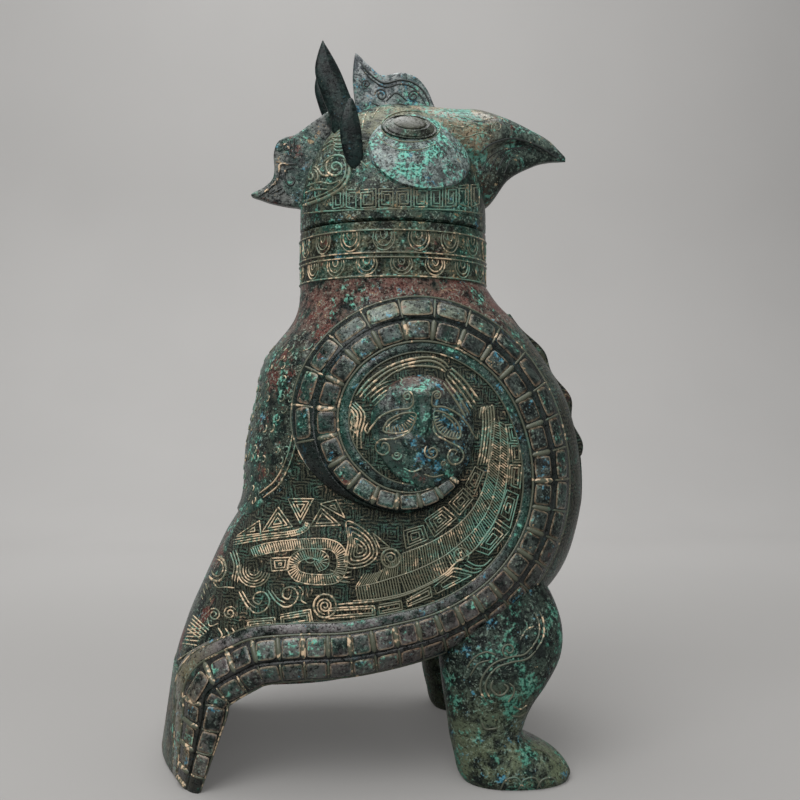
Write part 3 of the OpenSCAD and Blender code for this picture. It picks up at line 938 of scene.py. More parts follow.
@dataclass(frozen=True)
class Viewpoint:
    """The viewing point, whose picture is 800 units wide: drawings are laid on the surfaces from here."""

    aim_x: float = 16.5
    away: float = 678.0
    z: float = 231.9
    turn: float = 5.2
    focal: float = 1000.0
    middle: float = 400.0
    horizon: float = 395.0
    picture: float = 800.0
    grazing: float = 0.2
    jump: float = 7.0

    @property
    def ahead(self) -> Vector:
        """Direction of view."""
        return Vector((math.sin(math.radians(self.turn)), math.cos(math.radians(self.turn)), 0.0))

    @property
    def eye(self) -> Vector:
        """The viewing point itself."""
        return Vector((self.aim_x, 0.0, self.z)) - self.ahead * self.away

    def cast(self, tree: BVHTree, points: Array, lift: float) -> list[Array]:
        """Lays a drawn line on a surface.

        Args:
            tree: the surface.
            points: the line, in picture units.
            lift: height of the line above the surface.

        Returns:
            The stretches of the line that meet the surface, in space.
        """
        eye, ahead = self.eye, self.ahead
        aside = Vector((ahead.y, -ahead.x, 0.0))
        runs: list[list[Vector]] = [[]]
        for px, py in points:
            ray = ahead * self.focal + aside * (px - self.middle)
            ray.z += self.horizon - py
            ray.normalize()
            hit, facing, _, _ = tree.ray_cast(eye, ray)
            if hit is None or abs(facing.dot(ray)) < self.grazing:
                runs.append([])
                continue
            if runs[-1] and (hit - runs[-1][-1]).length > self.jump:
                runs.append([])
            runs[-1].append(hit + facing * lift)
        return [np.array([list(q) for q in run]) for run in runs if len(run) > 1]


@dataclass
class Drawing:
    """Lines drawn in the picture's units, or enlarged about a corner of it, each with its own thickness."""

    left: float = 0.0
    top: float = 0.0
    scale: float = 1.0
    fine: float = 1.5
    lines: list[tuple[Array, float]] = field(default_factory=list)

    @property
    def step(self) -> float:
        """Spacing of the samples, in the drawing's own units."""
        return self.fine * self.scale

    def put(self, points: Array, girth: float = 1.0) -> None:
        """Adds a line that is already drawn."""
        corner = np.array([self.left, self.top])
        self.lines.append((corner + np.asarray(points, float) / self.scale, girth))

    def curve(self, points: Pairs, girth: float = 1.0) -> None:
        """Adds a smooth line through points."""
        self.put(catmull(points, self.step), girth)

    def loop(self, points: Pairs, girth: float = 1.0) -> None:
        """Adds a smooth closed line through points."""
        line = catmull(points, self.step, closed=True)
        self.put(np.vstack([line, line[:1]]), girth)

    def corners(self, points: Pairs, girth: float = 1.0, closed: bool = False) -> None:
        """Adds a line with sharp corners."""
        p = np.asarray(points, float)
        if closed:
            p = np.vstack([p, p[:1]])
        self.put(even_corners(p, self.step), girth)

    def spiral(
        self, x: float, y: float, outer: float, inner: float, turns: float, start: float, girth: float = 1.0
    ) -> None:
        """Adds a spiral, clockwise for positive turns.

        Args:
            x: its middle, across.
            y: its middle, down.
            outer: its outer radius.
            inner: its inner radius.
            turns: how many turns.
            start: the angle of its outer end, in degrees clockwise from the right.
            girth: its thickness.
        """
        count = max(12, int(abs(turns) * math.pi * (outer + inner) / self.step))
        t = np.linspace(0.0, 1.0, count)
        a = math.radians(start) + t * turns * 2 * math.pi
        r = outer + (inner - outer) * t
        self.put(np.stack([x + r * np.cos(a), y + r * np.sin(a)], axis=1), girth)

    def arc(self, x: float, y: float, radius: float, start: float, end: float, girth: float = 1.0) -> None:
        """Adds an arc, its angles in degrees clockwise from the right."""
        count = max(4, int(abs(end - start) / 57.3 * radius / self.step))
        a = np.radians(np.linspace(start, end, count))
        self.put(np.stack([x + radius * np.cos(a), y + radius * np.sin(a)], axis=1), girth)

    def ring(self, x: float, y: float, wide: float, high: float, girth: float = 1.0) -> None:
        """Adds an oval."""
        count = max(12, int(math.pi * (wide + high) / self.step))
        a = np.linspace(0.0, 2 * math.pi, count)
        self.put(np.stack([x + wide * np.cos(a), y + high * np.sin(a)], axis=1), girth)

    def nest(self, points: Pairs, pitch: float, girth: float = 0.85) -> None:
        """Adds outlines inside each other.

        Args:
            points: corners of the outermost.
            pitch: their spacing.
            girth: their thickness.
        """
        p = np.asarray(points, float)
        middle = p.mean(axis=0)
        reach = float(inside(p, middle[:1], middle[1:])[0])
        for gap in np.arange(0.0, reach - 0.4 * pitch, pitch):
            self.corners(middle + (p - middle) * (1.0 - gap / reach), girth, closed=True)

    def key(self, points: Pairs, pitch: float, girth: float = 1.0) -> None:
        """Adds a squared spiral that fills a four-cornered field.

        Args:
            points: the field's corners, in order; the spiral starts at the first.
            pitch: spacing of its turns.
            girth: its thickness.
        """
        a, b, c, d = np.asarray(points, float)
        gap_u = 2.0 * pitch / (np.linalg.norm(b - a) + np.linalg.norm(c - d))
        gap_v = 2.0 * pitch / (np.linalg.norm(d - a) + np.linalg.norm(c - b))
        left, right, top, low = 0.0, 1.0, 0.0, 1.0
        path = [(left, top)]
        turn = 0
        while right - left > 0.6 * gap_u and low - top > 0.6 * gap_v:
            if turn % 4 == 0:
                path.append((right, top))
                top += gap_v
            elif turn % 4 == 1:
                path.append((right, low))
                right -= gap_u
            elif turn % 4 == 2:
                path.append((left, low))
                low -= gap_v
            else:
                path.append((left, top))
                left += gap_u
            turn += 1
        uv = np.array(path)
        u, v = uv[:, :1], uv[:, 1:]
        self.corners((1 - u) * (1 - v) * a + u * (1 - v) * b + u * v * c + (1 - u) * v * d, girth)

    def ribs(self, path: Pairs, half: float, pitch: float, slant: float, girth: float = 1.0) -> None:
        """Adds short ribs across a path, as on a feather's vane.

        Args:
            path: points of the path.
            half: half of the ribs' length.
            pitch: their spacing.
            slant: how far a rib's far end runs ahead, in units.
            girth: their thickness.
        """
        line = even(catmull(path, self.step), pitch)
        reach = sideways(line) * half + headings(line) * slant / 2
        for start, end in zip(line - reach, line + reach):
            self.corners([start, end], girth)

    def beside(self, path: Pairs, offsets: Sequence[float], girth: float = 1.0) -> None:
        """Adds lines that run beside a path, at the given offsets."""
        line = catmull(path, self.step)
        for offset in offsets:
            self.put(line + sideways(line) * offset, girth)

    def vane(self, first: Pairs, second: Pairs, pitch: float, slant: float, girth: float = 0.8) -> None:
        """Fills the strip between two lines with ribs, as a feather's vane.

        Args:
            first: one edge.
            second: the other edge, in the same direction.
            pitch: the ribs' spacing.
            slant: how far the rib's far end runs ahead.
            girth: their thickness.
        """
        a, b = (even(catmull(line, self.step), pitch) for line in (first, second))
        count = min(len(a), len(b))
        a, b = (line[np.linspace(0, len(line) - 1, count).astype(int)] for line in (a, b))
        ahead = int(round(slant / pitch))
        for i in range(max(0, -ahead), min(count, count - ahead)):
            self.corners([a[i], b[i + ahead]], girth)

    def thickened(self, by: float) -> "Drawing":
        """The drawing, with thicker lines."""
        return replace(self, lines=[(line, by * girth) for line, girth in self.lines])


def even_corners(points: Array, step: float) -> Array:
    """Samples straight legs evenly and keeps their corners.

    Args:
        points: the corners.
        step: spacing of the samples.

    Returns:
        The samples.
    """
    rows = []
    for a, b in zip(points[:-1], points[1:]):
        count = max(1, int(np.linalg.norm(b - a) / step))
        t = (np.arange(count) / count)[:, None]
        rows.append(a * (1 - t) + b * t)
    rows.append(points[-1:])
    return np.vstack(rows)


@dataclass
class Threads:
    """Lines that lie on the surfaces, in space, with their thickness."""

    lines: list[tuple[Array, float]] = field(default_factory=list)
    tip: float = 0.45
    steep: float = 14.0

    def add(self, line: Array, girth: float) -> None:
        """Adds one line."""
        self.lines.append((line, girth))

    def lay(self, drawing: Drawing, view: Viewpoint, tree: BVHTree, lift: float = 0.1) -> None:
        """Lays a drawing on a surface from the viewing point."""
        for points, girth in drawing.lines:
            for run in view.cast(tree, points, lift):
                self.add(run, girth)

    def mesh(self, name: str, side: Side) -> bpy.types.Mesh:
        """Makes the edges that the thread tree sweeps.

        Args:
            name: the mesh's name.
            side: which side they are for.

        Returns:
            The mesh of edges, with each point's thickness.
        """
        verts, edges, girths = [], [], []
        for points, girth in self.lines:
            start = sum(len(v) for v in verts)
            verts.append(points)
            edges += [(start + i, start + i + 1) for i in range(len(points) - 1)]
            share = np.linspace(0.0, 1.0, len(points))
            full = np.minimum(1.0, self.steep * np.minimum(share, 1.0 - share))
            girths.append(girth * (self.tip + (1.0 - self.tip) * full))
        mesh = bpy.data.meshes.new(name)
        mesh.from_pydata((np.vstack(verts) * side.flip * MM).tolist(), edges, [])
        layer = mesh.attributes.new("girth", "FLOAT", "POINT")
        layer.data.foreach_set("value", np.concatenate(girths).astype(np.float32))
        return mesh


# The workshop


class Workshop:
    """Turns forms into pieces that ride on their bodies, and keeps the finishes and trees."""

    def __init__(self) -> None:
        """Builds the two trees."""
        self.threads = ThreadTree()
        self.plates = PlateTree()
        self.paints: dict[str, bpy.types.Material] = {}

    def paint(self, finish: Union[Patina, ThreadFinish, Backdrop]) -> bpy.types.Material:
        """The finish's material, wired once."""
        if finish.name not in self.paints:
            self.paints[finish.name] = finish.material()
        return self.paints[finish.name]

    def place(
        self,
        name: str,
        mesh: bpy.types.Mesh,
        body: Body,
        slot: Slot,
        replaces: Sequence[str] = (),
    ) -> None:
        """Makes a mesh a piece of the object.

        Args:
            name: the piece's name.
            mesh: its mesh, with its finish.
            body: the body it moves with.
            slot: the record's finish for the piece; not used.
            replaces: names of the solids it stands for.
        """
        piece = bpy.data.objects.new(name, mesh)
        bpy.context.scene.collection.objects.link(piece)
        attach(piece, body.value)
        if replaces:
            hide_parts(*replaces)
        log.info("%s: %d faces on %s", name, len(mesh.polygons), body.value)

    def piece(
        self,
        name: str,
        form: Form,
        finish: Patina,
        body: Body,
        slot: Slot,
        replaces: Sequence[str] = (),
        crease: float = 50.0,
    ) -> None:
        """Makes a form a piece in a finish.

        Args:
            name: the piece's name.
            form: its shape.
            finish: its finish.
            body: the body it moves with.
            slot: the record's finish it belongs to.
            replaces: names of the solids it stands for.
            crease: angle from which its edges stay sharp.
        """
        mesh = form.mesh(name, crease)
        mesh.materials.append(self.paint(finish))
        self.place(name, mesh, body, slot, replaces)

    def lines(
        self,
        name: str,
        threads: Threads,
        side: Side,
        finish: ThreadFinish,
        body: Body,
        slot: Slot,
        radius: float = 0.55,
    ) -> None:
        """Sweeps threads along lines and makes them a piece.

        Args:
            name: the piece's name.
            threads: the lines.
            side: which side they are for.
            finish: the threads' finish.
            body: the body they move with.
            slot: the record's finish they belong to.
            radius: their radius.
        """
        values = {"Thread radius": radius * MM, "Thread sides": THREAD_SIDES, "Finish": self.paint(finish)}
        mesh = self.threads.grow(name, threads.mesh(name + "_edges", side), values)
        self.place(name, mesh, body, slot)

    def tiles(self, name: str, rows: dict[str, Array], finish: Patina, body: Body, slot: Slot) -> None:
        """Sets plates on points and makes them a piece.

        Args:
            name: the piece's name.
            rows: the points' place, facing, along and size, one point a row.
            finish: the plates' finish.
            body: the body they move with.
            slot: the record's finish they belong to.
        """
        source = bpy.data.meshes.new(name + "_points")
        source.from_pydata((rows["place"] * MM).tolist(), [], [])
        marks = {"facing": rows["facing"], "along": rows["along"], "size": rows["size"] * MM}
        for mark, values in marks.items():
            layer = source.attributes.new(mark, "FLOAT_VECTOR", "POINT")
            layer.data.foreach_set("vector", np.asarray(values, np.float32).ravel())
        values = {"Corner": PLATE_CORNER, "Plate vertices": PLATE_SIDE, "Finish": self.paint(finish)}
        self.place(name, self.plates.grow(name, source, values), body, slot)


# The vessel


# Edge of the cape in side view: place along the bird and height
CAPE_EDGE = np.array(
    [(-40.0, 300.0), (-44.0, 262.0), (-50.0, 225.0), (-52.0, 192.0), (-57.0, 175.0), (-68.0, 163.0)]
    + [(-80.0, 156.0), (-135.0, 150.0), (-135.0, 300.0)]
)


@dataclass
class Vessel:
    """Belly and neck: the hollow body that everything else is cast onto."""

    belly_z: float = 62.0
    belly_h: float = 242.0
    breast_reach: float = 126.5
    back_reach: float = 99.5
    rump_reach: float = 143.5
    belly_half_w: float = 86.0
    wall: float = 6.0
    neck_r: float = 62.5
    neck_h: float = 35.6
    bead: float = 0.75
    bead_half_h: float = 0.9
    cape_rise: float = 2.2
    seam_cut: float = 2.2
    body: Stations = field(init=False)

    def __post_init__(self) -> None:
        """Works out the belly's sections: height, back, front, half width and squareness."""
        b, k, r = self.breast_reach, self.back_reach, self.rump_reach
        w, n = self.belly_half_w, self.neck_r
        shares = (
            (0.0, -r, -0.06 * b, 0.98 * w, 2.5),
            (0.035, -0.985 * r, 0.29 * b, 1.01 * w, 2.5),
            (0.08, -0.96 * r, 0.52 * b, 1.03 * w, 2.5),
            (0.13, -0.93 * r, 0.68 * b, 1.04 * w, 2.5),
            (0.19, -0.885 * r, 0.82 * b, 1.04 * w, 2.45),
            (0.25, -0.84 * r, 0.905 * b, 1.03 * w, 2.4),
            (0.33, -0.5 * k - 0.43 * r, 0.965 * b, 1.02 * w, 2.3),
            (0.42, -k, b, w, 2.2),
            (0.56, -0.97 * k, 0.985 * b, w, 2.15),
            (0.69, -0.56 * k - 0.55 * n, 0.66 * b + 0.53 * n, 0.97 * w, 2.1),
            (0.80, -0.405 * k - 0.7 * n, 0.38 * b + 0.86 * n, 0.46 * w + 0.61 * n, 2.05),
            (0.90, -1.075 * n, 1.335 * n, 1.1 * n, 2.0),
            (0.95, -1.005 * n, 1.14 * n, 1.025 * n, 2.0),
            (1.0, -n, n, n, 2.0),
        )
        self.body = Stations(tuple((self.up(row[0]), *row[1:]) for row in shares))

    def up(self, share: Number) -> Number:
        """Height of a share of the belly."""
        return self.belly_z + share * self.belly_h

    @property
    def neck_z(self) -> float:
        """Height of the foot of the neck."""
        return self.belly_z + self.belly_h

    @property
    def seam_z(self) -> float:
        """Height of the seam under the lid."""
        return self.neck_z + self.neck_h

    def front(self, z: Array) -> Array:
        """Reach of the breast at a height."""
        return self.body.at(z, 2)

    def side_y(self, x: Array, z: Array, out: Array) -> Array:
        """Half width of the belly at a place in its side view.

        Args:
            x: place along the bird.
            z: height.
            out: distance outside the belly.

        Returns:
            The half width there.
        """
        x, z = np.asarray(x, float), np.asarray(z, float)
        b, f = self.body.at(z, 1) - out, self.body.at(z, 2) + out
        p = self.body.at(z, 4)
        q = np.minimum(0.985, np.abs((x - NECK_X - (f + b) / 2) / ((f - b) / 2)))
        return (self.body.at(z, 3) + out) * (1.0 - q**p) ** (1.0 / p)

    def shell(self, z: Array, angle: Array, out: Array) -> Array:
        """Points of the belly by height and angle.

        Args:
            z: heights.
            angle: angles round the belly, 0 at the breast.
            out: distance outside the belly.

        Returns:
            The points.
        """
        b, f, w = self.body.at(z, 1), self.body.at(z, 2), self.body.at(z, 3)
        qx, qy = round_square(angle, self.body.at(z, 4))
        return xyz(NECK_X + (f + b) / 2 + ((f - b) / 2 + out) * qx, (w + out) * qy, z)

    def cape(self, x: Array, z: Array) -> Array:
        """Rise of the cape of small feathers that hangs from the neck down the back.

        Args:
            x: place along the bird.
            z: height.

        Returns:
            The rise there.
        """
        lip = smooth(0.0, 3.0, inside(CAPE_EDGE, x, z))
        return self.cape_rise * lip * (1.0 - 0.75 * smooth(240.0, 285.0, z))

    def belly(self) -> Form:
        """Builds the belly with its inside.

        Returns:
            The form.
        """
        sides, levels, inner = 300, 190, 40
        s = np.linspace(0.0, 1.0, levels) ** 1.2
        z, a = np.meshgrid(self.up(s), around(sides), indexing="ij")
        plain = self.shell(z, a, 0.0)
        outer = self.shell(z, a, self.cape(plain[..., 0], plain[..., 2]))
        s = np.linspace(1.0, 0.0, inner) ** 1.2
        z, a = np.meshgrid(self.up(s), around(sides), indexing="ij")
        hollow = self.shell(z, a, -self.wall)
        hollow[..., 2] += self.wall * (1.0 - s)[:, None]
        return loft(np.concatenate([outer, hollow]))

    def beads(self) -> tuple[float, ...]:
        """Heights of the raised lines round the neck."""
        return tuple(self.neck_z + s * self.neck_h for s in (0.03, 0.36, 0.44, 0.83))

    def neck(self) -> Form:
        """Builds the collar of the neck with its raised lines.

        Returns:
            The form.
        """
        z = np.linspace(self.neck_z, self.seam_z, 120)
        r = np.full(z.shape, self.neck_r)
        for bead in self.beads():
            r = r + self.bead * np.sqrt(np.maximum(0.0, 1.0 - ((z - bead) / self.bead_half_h) ** 2))
        r[-4:] -= self.seam_cut * np.array([0.1, 0.4, 0.75, 1.0])
        z = np.concatenate([z, [self.seam_z, self.neck_z]])
        r = np.concatenate([r, [self.neck_r - self.wall] * 2])
        rings = round_neck(r[:, None], around(240), z[:, None])
        return loft(np.concatenate([rings, rings[:1]]), caps=False)

    def neck_scales(self) -> Threads:
        """Draws the two rows of hanging scales between the neck's lines.

        Returns:
            The lines.
        """
        threads = Threads()
        low, mid_low, mid_high, high = self.beads()
        turn = np.linspace(0.0, 2 * math.pi, 200)
        for z in self.beads():
            threads.add(round_neck(self.neck_r + self.bead - 0.2, turn, z), 0.9)
        count = 18
        t = np.linspace(0.0, math.pi, 26)
        for bottom, top, shift in ((mid_high, high, 0.0), (low, mid_low, 0.5)):
            tall = top - bottom
            for i in range(count):
                middle = 2 * math.pi * (i + shift) / count
                for wide, deep, girth in ((7.2, 0.86, 1.0), (5.3, 0.66, 0.9), (2.2, 0.34, 0.8)):
                    across = -wide * np.cos(t) * np.minimum(1.0, 0.85 + 0.5 * np.sin(t))
                    drop = np.sin(t) ** 0.8 * deep * tall
                    scale = round_neck(self.neck_r + 0.1, middle + across / self.neck_r, top - 0.6 - drop)
                    threads.add(scale, girth)
        return threads


@dataclass
class Flange:
    """Ridge down the middle of the breast, with hooks below the neck."""

    vessel: Vessel
    thick: float = 8.0
    rise: float = 4.0

    def build(self) -> Form:
        """Builds the ridge.

        Returns:
            The form.
        """
        s = np.linspace(0.0, 1.0, 150)
        z = self.vessel.up(0.2) + s * (self.vessel.up(0.93) - self.vessel.up(0.2))
        hooks = 1.15 + 0.55 * np.sin(2 * math.pi * 3 * (s - 0.45) / 0.55)
        rise = self.rise * np.where(s < 0.45, 1.0, hooks)
        a = np.linspace(0.0, math.pi, 17)
        y = self.thick / 2 * np.cos(a)
        lift = np.sin(a) ** 0.6
        x = NECK_X + self.vessel.front(z)[:, None] - 2.0 + (rise[:, None] + 2.0) * lift[None, :]
        return loft(xyz(x, y, z[:, None]))


@dataclass
class Tail:
    """Wall bent round the back of the bird: its third foot."""

    vessel: Vessel
    reach: float = 154.0
    half_w: float = 85.0
    side: float = 34.5
    thick: float = 9.0
    lean: float = 14.0
    foot_power: float = 1.45
    root_power: float = 2.5

    def back(self, s: Number) -> Number:
        """Back of the tail at a share of its height."""
        return -self.reach + s * (self.reach - self.vessel.rump_reach)

    def edge(self, s: Number) -> Number:
        """Front end of the tail's sides at a share of its height."""
        return -self.reach + self.side + s * self.lean

    def width(self, s: Number) -> Number:
        """Half width of the tail at a share of its height."""
        return self.half_w + s * (0.98 * self.vessel.belly_half_w - 0.6 - self.half_w)

    def power(self, s: Number) -> Number:
        """Squareness of the tail's level section at a share of its height."""
        return self.foot_power + s * (self.root_power - self.foot_power)

    def wall_y(self, x: Array, z: Array) -> Array:
        """Half width of the tail at a place in its side view."""
        s = z / self.vessel.belly_z
        d = (self.edge(s) - x + NECK_X) / (self.edge(s) - self.back(s))
        return self.width(s) * (1.0 - np.clip(d, 0.0, 0.97) ** self.power(s)) ** (1.0 / self.power(s))

    def ring(self, s: float, inset: float, turns: int = 90) -> Array:
        """Half of a level section, round the outside or the inside.

        Args:
            s: share of the height.
            inset: distance inside the outer wall.
            turns: samples.

        Returns:
            The points.
        """
        along, across = round_square(np.linspace(-math.pi / 2, math.pi / 2, turns), self.power(s))
        front = self.edge(s)
        x = NECK_X + front - (front - self.back(s) - inset) * along
        return xyz(x, -(self.width(s) - inset) * across, s * self.vessel.belly_z)

    def build(self) -> Form:
        """Builds the wall.

        Returns:
            The form.
        """
        rings = []
        levels = [(0.0, 1.6), (0.02, 0.4)] + [(s, 0.0) for s in np.linspace(0.05, 1.02, 60)]
        for s, chamfer in levels:
            outer, inner = self.ring(s, chamfer), self.ring(s, self.thick - chamfer)
            rings.append(np.vstack([outer, inner[::-1]]))
        return loft(np.array(rings), inward=True)


# Outline of the wing, in shares of the reach and of the belly's height
WING_OUTLINE = (
    (0.862, 0.42), (0.832, 0.62), (0.704, 0.77), (0.487, 0.89), (0.072, 0.945), (-0.132, 0.93),
    (-0.274, 0.84), (-0.396, 0.70), (-0.457, 0.58), (-0.498, 0.49), (-0.712, 0.37), (-0.80, 0.20),
    (-0.80, 0.08), (-0.70, 0.02), (-0.355, 0.02), (-0.015, 0.045), (0.18, 0.075), (0.338, 0.115),
    (0.536, 0.18), (0.724, 0.235), (0.813, 0.32),
)
# Reach of the coil, in shares of its radius, by the turn from straight down
COIL_REACH = (
    (-40, 0.61), (0, 0.72), (90, 0.91), (180, 1.0), (225, 1.06), (270, 1.23), (315, 1.60),
    (360, 1.90),
)
# Rise of the band by the place across it
BAND_SECTION = (
    (-21.5, -3.0), (-20.8, 0.2), (-19.8, 1.3), (-15.4, 1.6), (-14.4, 0.5), (-13.6, 1.4),
    (-7.0, 3.9), (-1.2, 4.4), (0.0, 3.0), (1.2, 3.9), (7.0, 3.3), (12.6, 1.5), (14.0, 0.0),
    (15.0, -3.5),
)
# Places across the band where its surface is sampled
BAND_PLACES = (
    -21.5, -20.8, -20.3, -19.8, -17.5, -15.4, -14.9, -14.4, -13.9, -13.2, -10.0, -7.0, -4.0, -1.4,
    -0.6, 0.0, 0.6, 1.4, 4.0, 7.0, 10.0, 12.6, 13.5, 14.2, 15.0,
)
# Spacing of the joints by the place on the run
JOINT_SPACING = ((0.0, 13.0), (60.0, 16.5), (130.0, 20.0), (330.0, 19.0), (450.0, 13.7))


@dataclass
class Wing:
    """Wing of one side: its field, the coiled snake on it and the snake's head."""

    vessel: Vessel
    tail: Tail
    field_t: float = 4.25
    coil_r: float = 66.0
    band_half_w: float = 14.0
    outer_from: float = 95.0
    bars_from_z: float = 2.0
    plates_from_z: float = 6.0
    boss_r: float = 31.0
    boss_rise: float = 6.0

    def point(self, share: tuple[float, float]) -> Array:
        """Place in side view of shares of the reach and of the belly's height."""
        reach = self.vessel.rump_reach if share[0] < 0 else self.vessel.breast_reach
        return np.array([NECK_X + share[0] * reach, self.vessel.up(share[1])])

    def outline(self) -> Array:
        """Outline of the wing's field, in side view."""
        return rounded([self.point(s) for s in WING_OUTLINE], 2.2)

    def rise(self, x: Array, z: Array) -> Array:
        """Rise of the wing's field above the belly, which fades out towards its edge."""
        return self.field_t * smooth(-0.5, 9.0, inside(self.outline(), x, z))

    def field(self) -> Form:
        """Builds the wing's field.

        Returns:
            The form.
        """
        middle, edge = self.point((-0.015, 0.43)), self.outline()
        shares = np.linspace(0.0, 1.0, 71)[1:]
        flat = middle + (edge[None, :, :] - middle) * shares[:, None, None]
        x, z = flat[..., 0], flat[..., 1]
        y = self.vessel.side_y(x, z, self.rise(x, z))
        y[-1] -= 1.5
        centre = np.array([middle[0], -self.vessel.side_y(*middle, self.field_t), middle[1]])
        return fan(centre, xyz(x, -y, z), flip=True)

    def coil_point(self, turn: float) -> Array:
        """Place on the coil at a turn from straight down, in degrees."""
        a = math.radians(turn)
        reach = self.coil_r * float(Stations(COIL_REACH).at(turn, 1))
        return self.middle() + reach * np.array([-math.sin(a), -math.cos(a)])

    def middle(self) -> Array:
        """Middle of the coil, in side view."""
        return self.point((0.052, 0.62))

    def path(self) -> Array:
        """Middle line of the snake's band in side view, evenly sampled."""
        coil = [self.coil_point(-40 + 400 * i / 44) for i in range(45)]
        run = [self.point(s) for s in ((-0.213, 0.075), (-0.417, 0.07), (-0.579, 0.06), (-0.661, 0.04))]
        inset = 0.62 * self.band_half_w
        foot = [
            np.array([NECK_X + self.tail.edge(s) - inset, s * self.vessel.belly_z])
            for s in (0.95, 0.72, 0.48, 0.26, 0.1, 0.0)
        ]
        return even(catmull(coil + run + foot, 1.0), 1.0)

    def course(self) -> tuple[Array, Array]:
        """Middle line of the band, and the shares of its full width along it."""
        path = self.path()
        return path, self.spread(np.arange(len(path), dtype=float))

    def spread(self, run: Array) -> Array:
        """Shares of the full width of the band's inner and outer half along its run."""
        left = run[-1] - run
        inner = np.minimum(np.minimum(1.0, 0.55 + 0.45 * run / 75.0), 0.55 + 0.45 * left / 55.0)
        return np.stack([inner, inner * (0.12 + 0.88 * smooth(50.0, 125.0, run))], axis=1)

    def ground_y(self, x: Array, z: Array) -> Array:
        """Half width of what carries the band: the wing's field, or the wall of the tail below it."""
        lap = smooth(54.0, 74.0, z)
        high = self.vessel.side_y(x, np.maximum(z, self.vessel.belly_z), self.field_t)
        low = self.tail.wall_y(x, np.minimum(z, self.vessel.belly_z))
        return low + (high - low) * lap

    def section(self, v: Array) -> Array:
        """Rise of the band across its width: plain ring, inner row, groove, outer row."""
        return np.interp(v, *zip(*BAND_SECTION))

    def band_points(self, path: Array, wide: Array, v: Array) -> Array:
        """Points of the band's surface.

        Args:
            path: samples of its middle line.
            wide: shares of the full width of its two halves at each sample.
            v: places across it, in millimetres, outwards from the middle line.

        Returns:
            The points, path by place across.
        """
        share = np.where(v[None, :] > 0.0, wide[:, 1:], wide[:, :1])
        flat = path[:, None, :] + sideways(path)[:, None, :] * (v[None, :] * share)[..., None]
        x, z = flat[..., 0], flat[..., 1]
        lift = self.section(v)[None, :] * np.minimum(1.0, 0.35 + 0.65 * wide[:, :1])
        return xyz(x, -(self.ground_y(x, z) + lift), np.maximum(z, 0.0))

    def band(self) -> Form:
        """Builds the snake's band, without its plates.

        Returns:
            The form.
        """
        path, wide = self.course()
        v = np.array(BAND_PLACES)
        form = strip(self.band_points(path, wide, v))
        # The rows that the plates cover are marked for painted shade, which shows in the gaps between the
        # plates.
        cells = smooth(-14.6, -13.6, v) * (1.0 - smooth(13.0, 14.0, v))
        form.marks["shade"] = np.repeat(cells[None, :], len(path), 0).ravel()
        return form

    def joints(self) -> Array:
        """Places along the band's run where one plate ends and the next begins."""
        last = float(len(self.path()) - 1)
        places = [2.0]
        while places[-1] < last - 8.0:
            places.append(places[-1] + float(np.interp(places[-1], *zip(*JOINT_SPACING))))
        return np.array(places)

    def band_line(self, start: float, end: float, v: float, out: float) -> Array:
        """A line along the band.

        Args:
            start: where it starts on the band's run.
            end: where it ends.
            v: place across the band.
            out: height above the band.

        Returns:
            The line.
        """
        path, wide = self.course()
        part = slice(int(start), int(end))
        line = self.band_points(path[part], wide[part], np.array([v]))[:, 0]
        return line - np.array([0.0, out, 0.0])

    def bars(self) -> Threads:
        """Draws the bars between the plates and the border lines of the band.

        Returns:
            The lines.
        """
        path, wide = self.course()
        threads = Threads()
        inner, outer = (-13.2, -1.0, 0.7, 3.0, 0.0), (1.0, 13.0, 0.2, 1.3, self.outer_from)
        for at in self.joints():
            i = min(len(path) - 3, max(2, int(round(at))))
            near = slice(i - 2, i + 3)
            for start, end, sunk, girth, begins in (inner, outer):
                bar = self.band_points(path[near], wide[near], np.linspace(start, end, 9))[2]
                if at > begins and bar[:, 2].min() > self.bars_from_z:
                    threads.add(bar + np.array([0.0, sunk, 0.0]), girth)
        last = len(path) - 4
        threads.add(self.band_line(2, last, -14.0, 0.3), 1.3)
        threads.add(self.band_line(2, last, -20.4, 0.0), 1.0)
        threads.add(self.band_line(self.outer_from + 1.0, last, 13.9, 0.0), 1.2)
        return threads

    def plates(self) -> dict[str, Array]:
        """Places the plates of the band's two rows.

        Returns:
            Place, facing, along and size of each plate.
        """
        path, wide = self.course()
        rows: dict[str, list] = {"place": [], "facing": [], "along": [], "size": []}
        joints = self.joints()
        for a, b in zip(joints[:-1], joints[1:]):
            i = min(len(path) - 4, max(3, int(round((a + b) / 2))))
            for v, high, deep, share in ((-7.2, 11.2, 0.7, 0.78), (7.0, 11.6, 1.0, 0.90)):
                if v > 0 and a < self.outer_from or path[i][1] < self.plates_from_z:
                    continue
                near = np.array([v - 2.5, v, v + 2.5])
                patch = self.band_points(path[i - 3 : i + 4], wide[i - 3 : i + 4], near)
                along = patch[-1, 1] - patch[0, 1]
                across = patch[3, 2] - patch[3, 0]
                facing = np.cross(along, across)
                facing *= -np.sign(facing[1]) / np.linalg.norm(facing)
                stretch = np.linalg.norm(along) / np.linalg.norm(path[i + 3] - path[i - 3])
                rows["place"].append(patch[3, 1])
                rows["facing"].append(facing)
                rows["along"].append(along / np.linalg.norm(along))
                half = wide[i, int(v > 0)]
                rows["size"].append(((b - a) * share * stretch, high * half, deep * (0.4 + 0.6 * half)))
        return {key: np.array(values) for key, values in rows.items()}

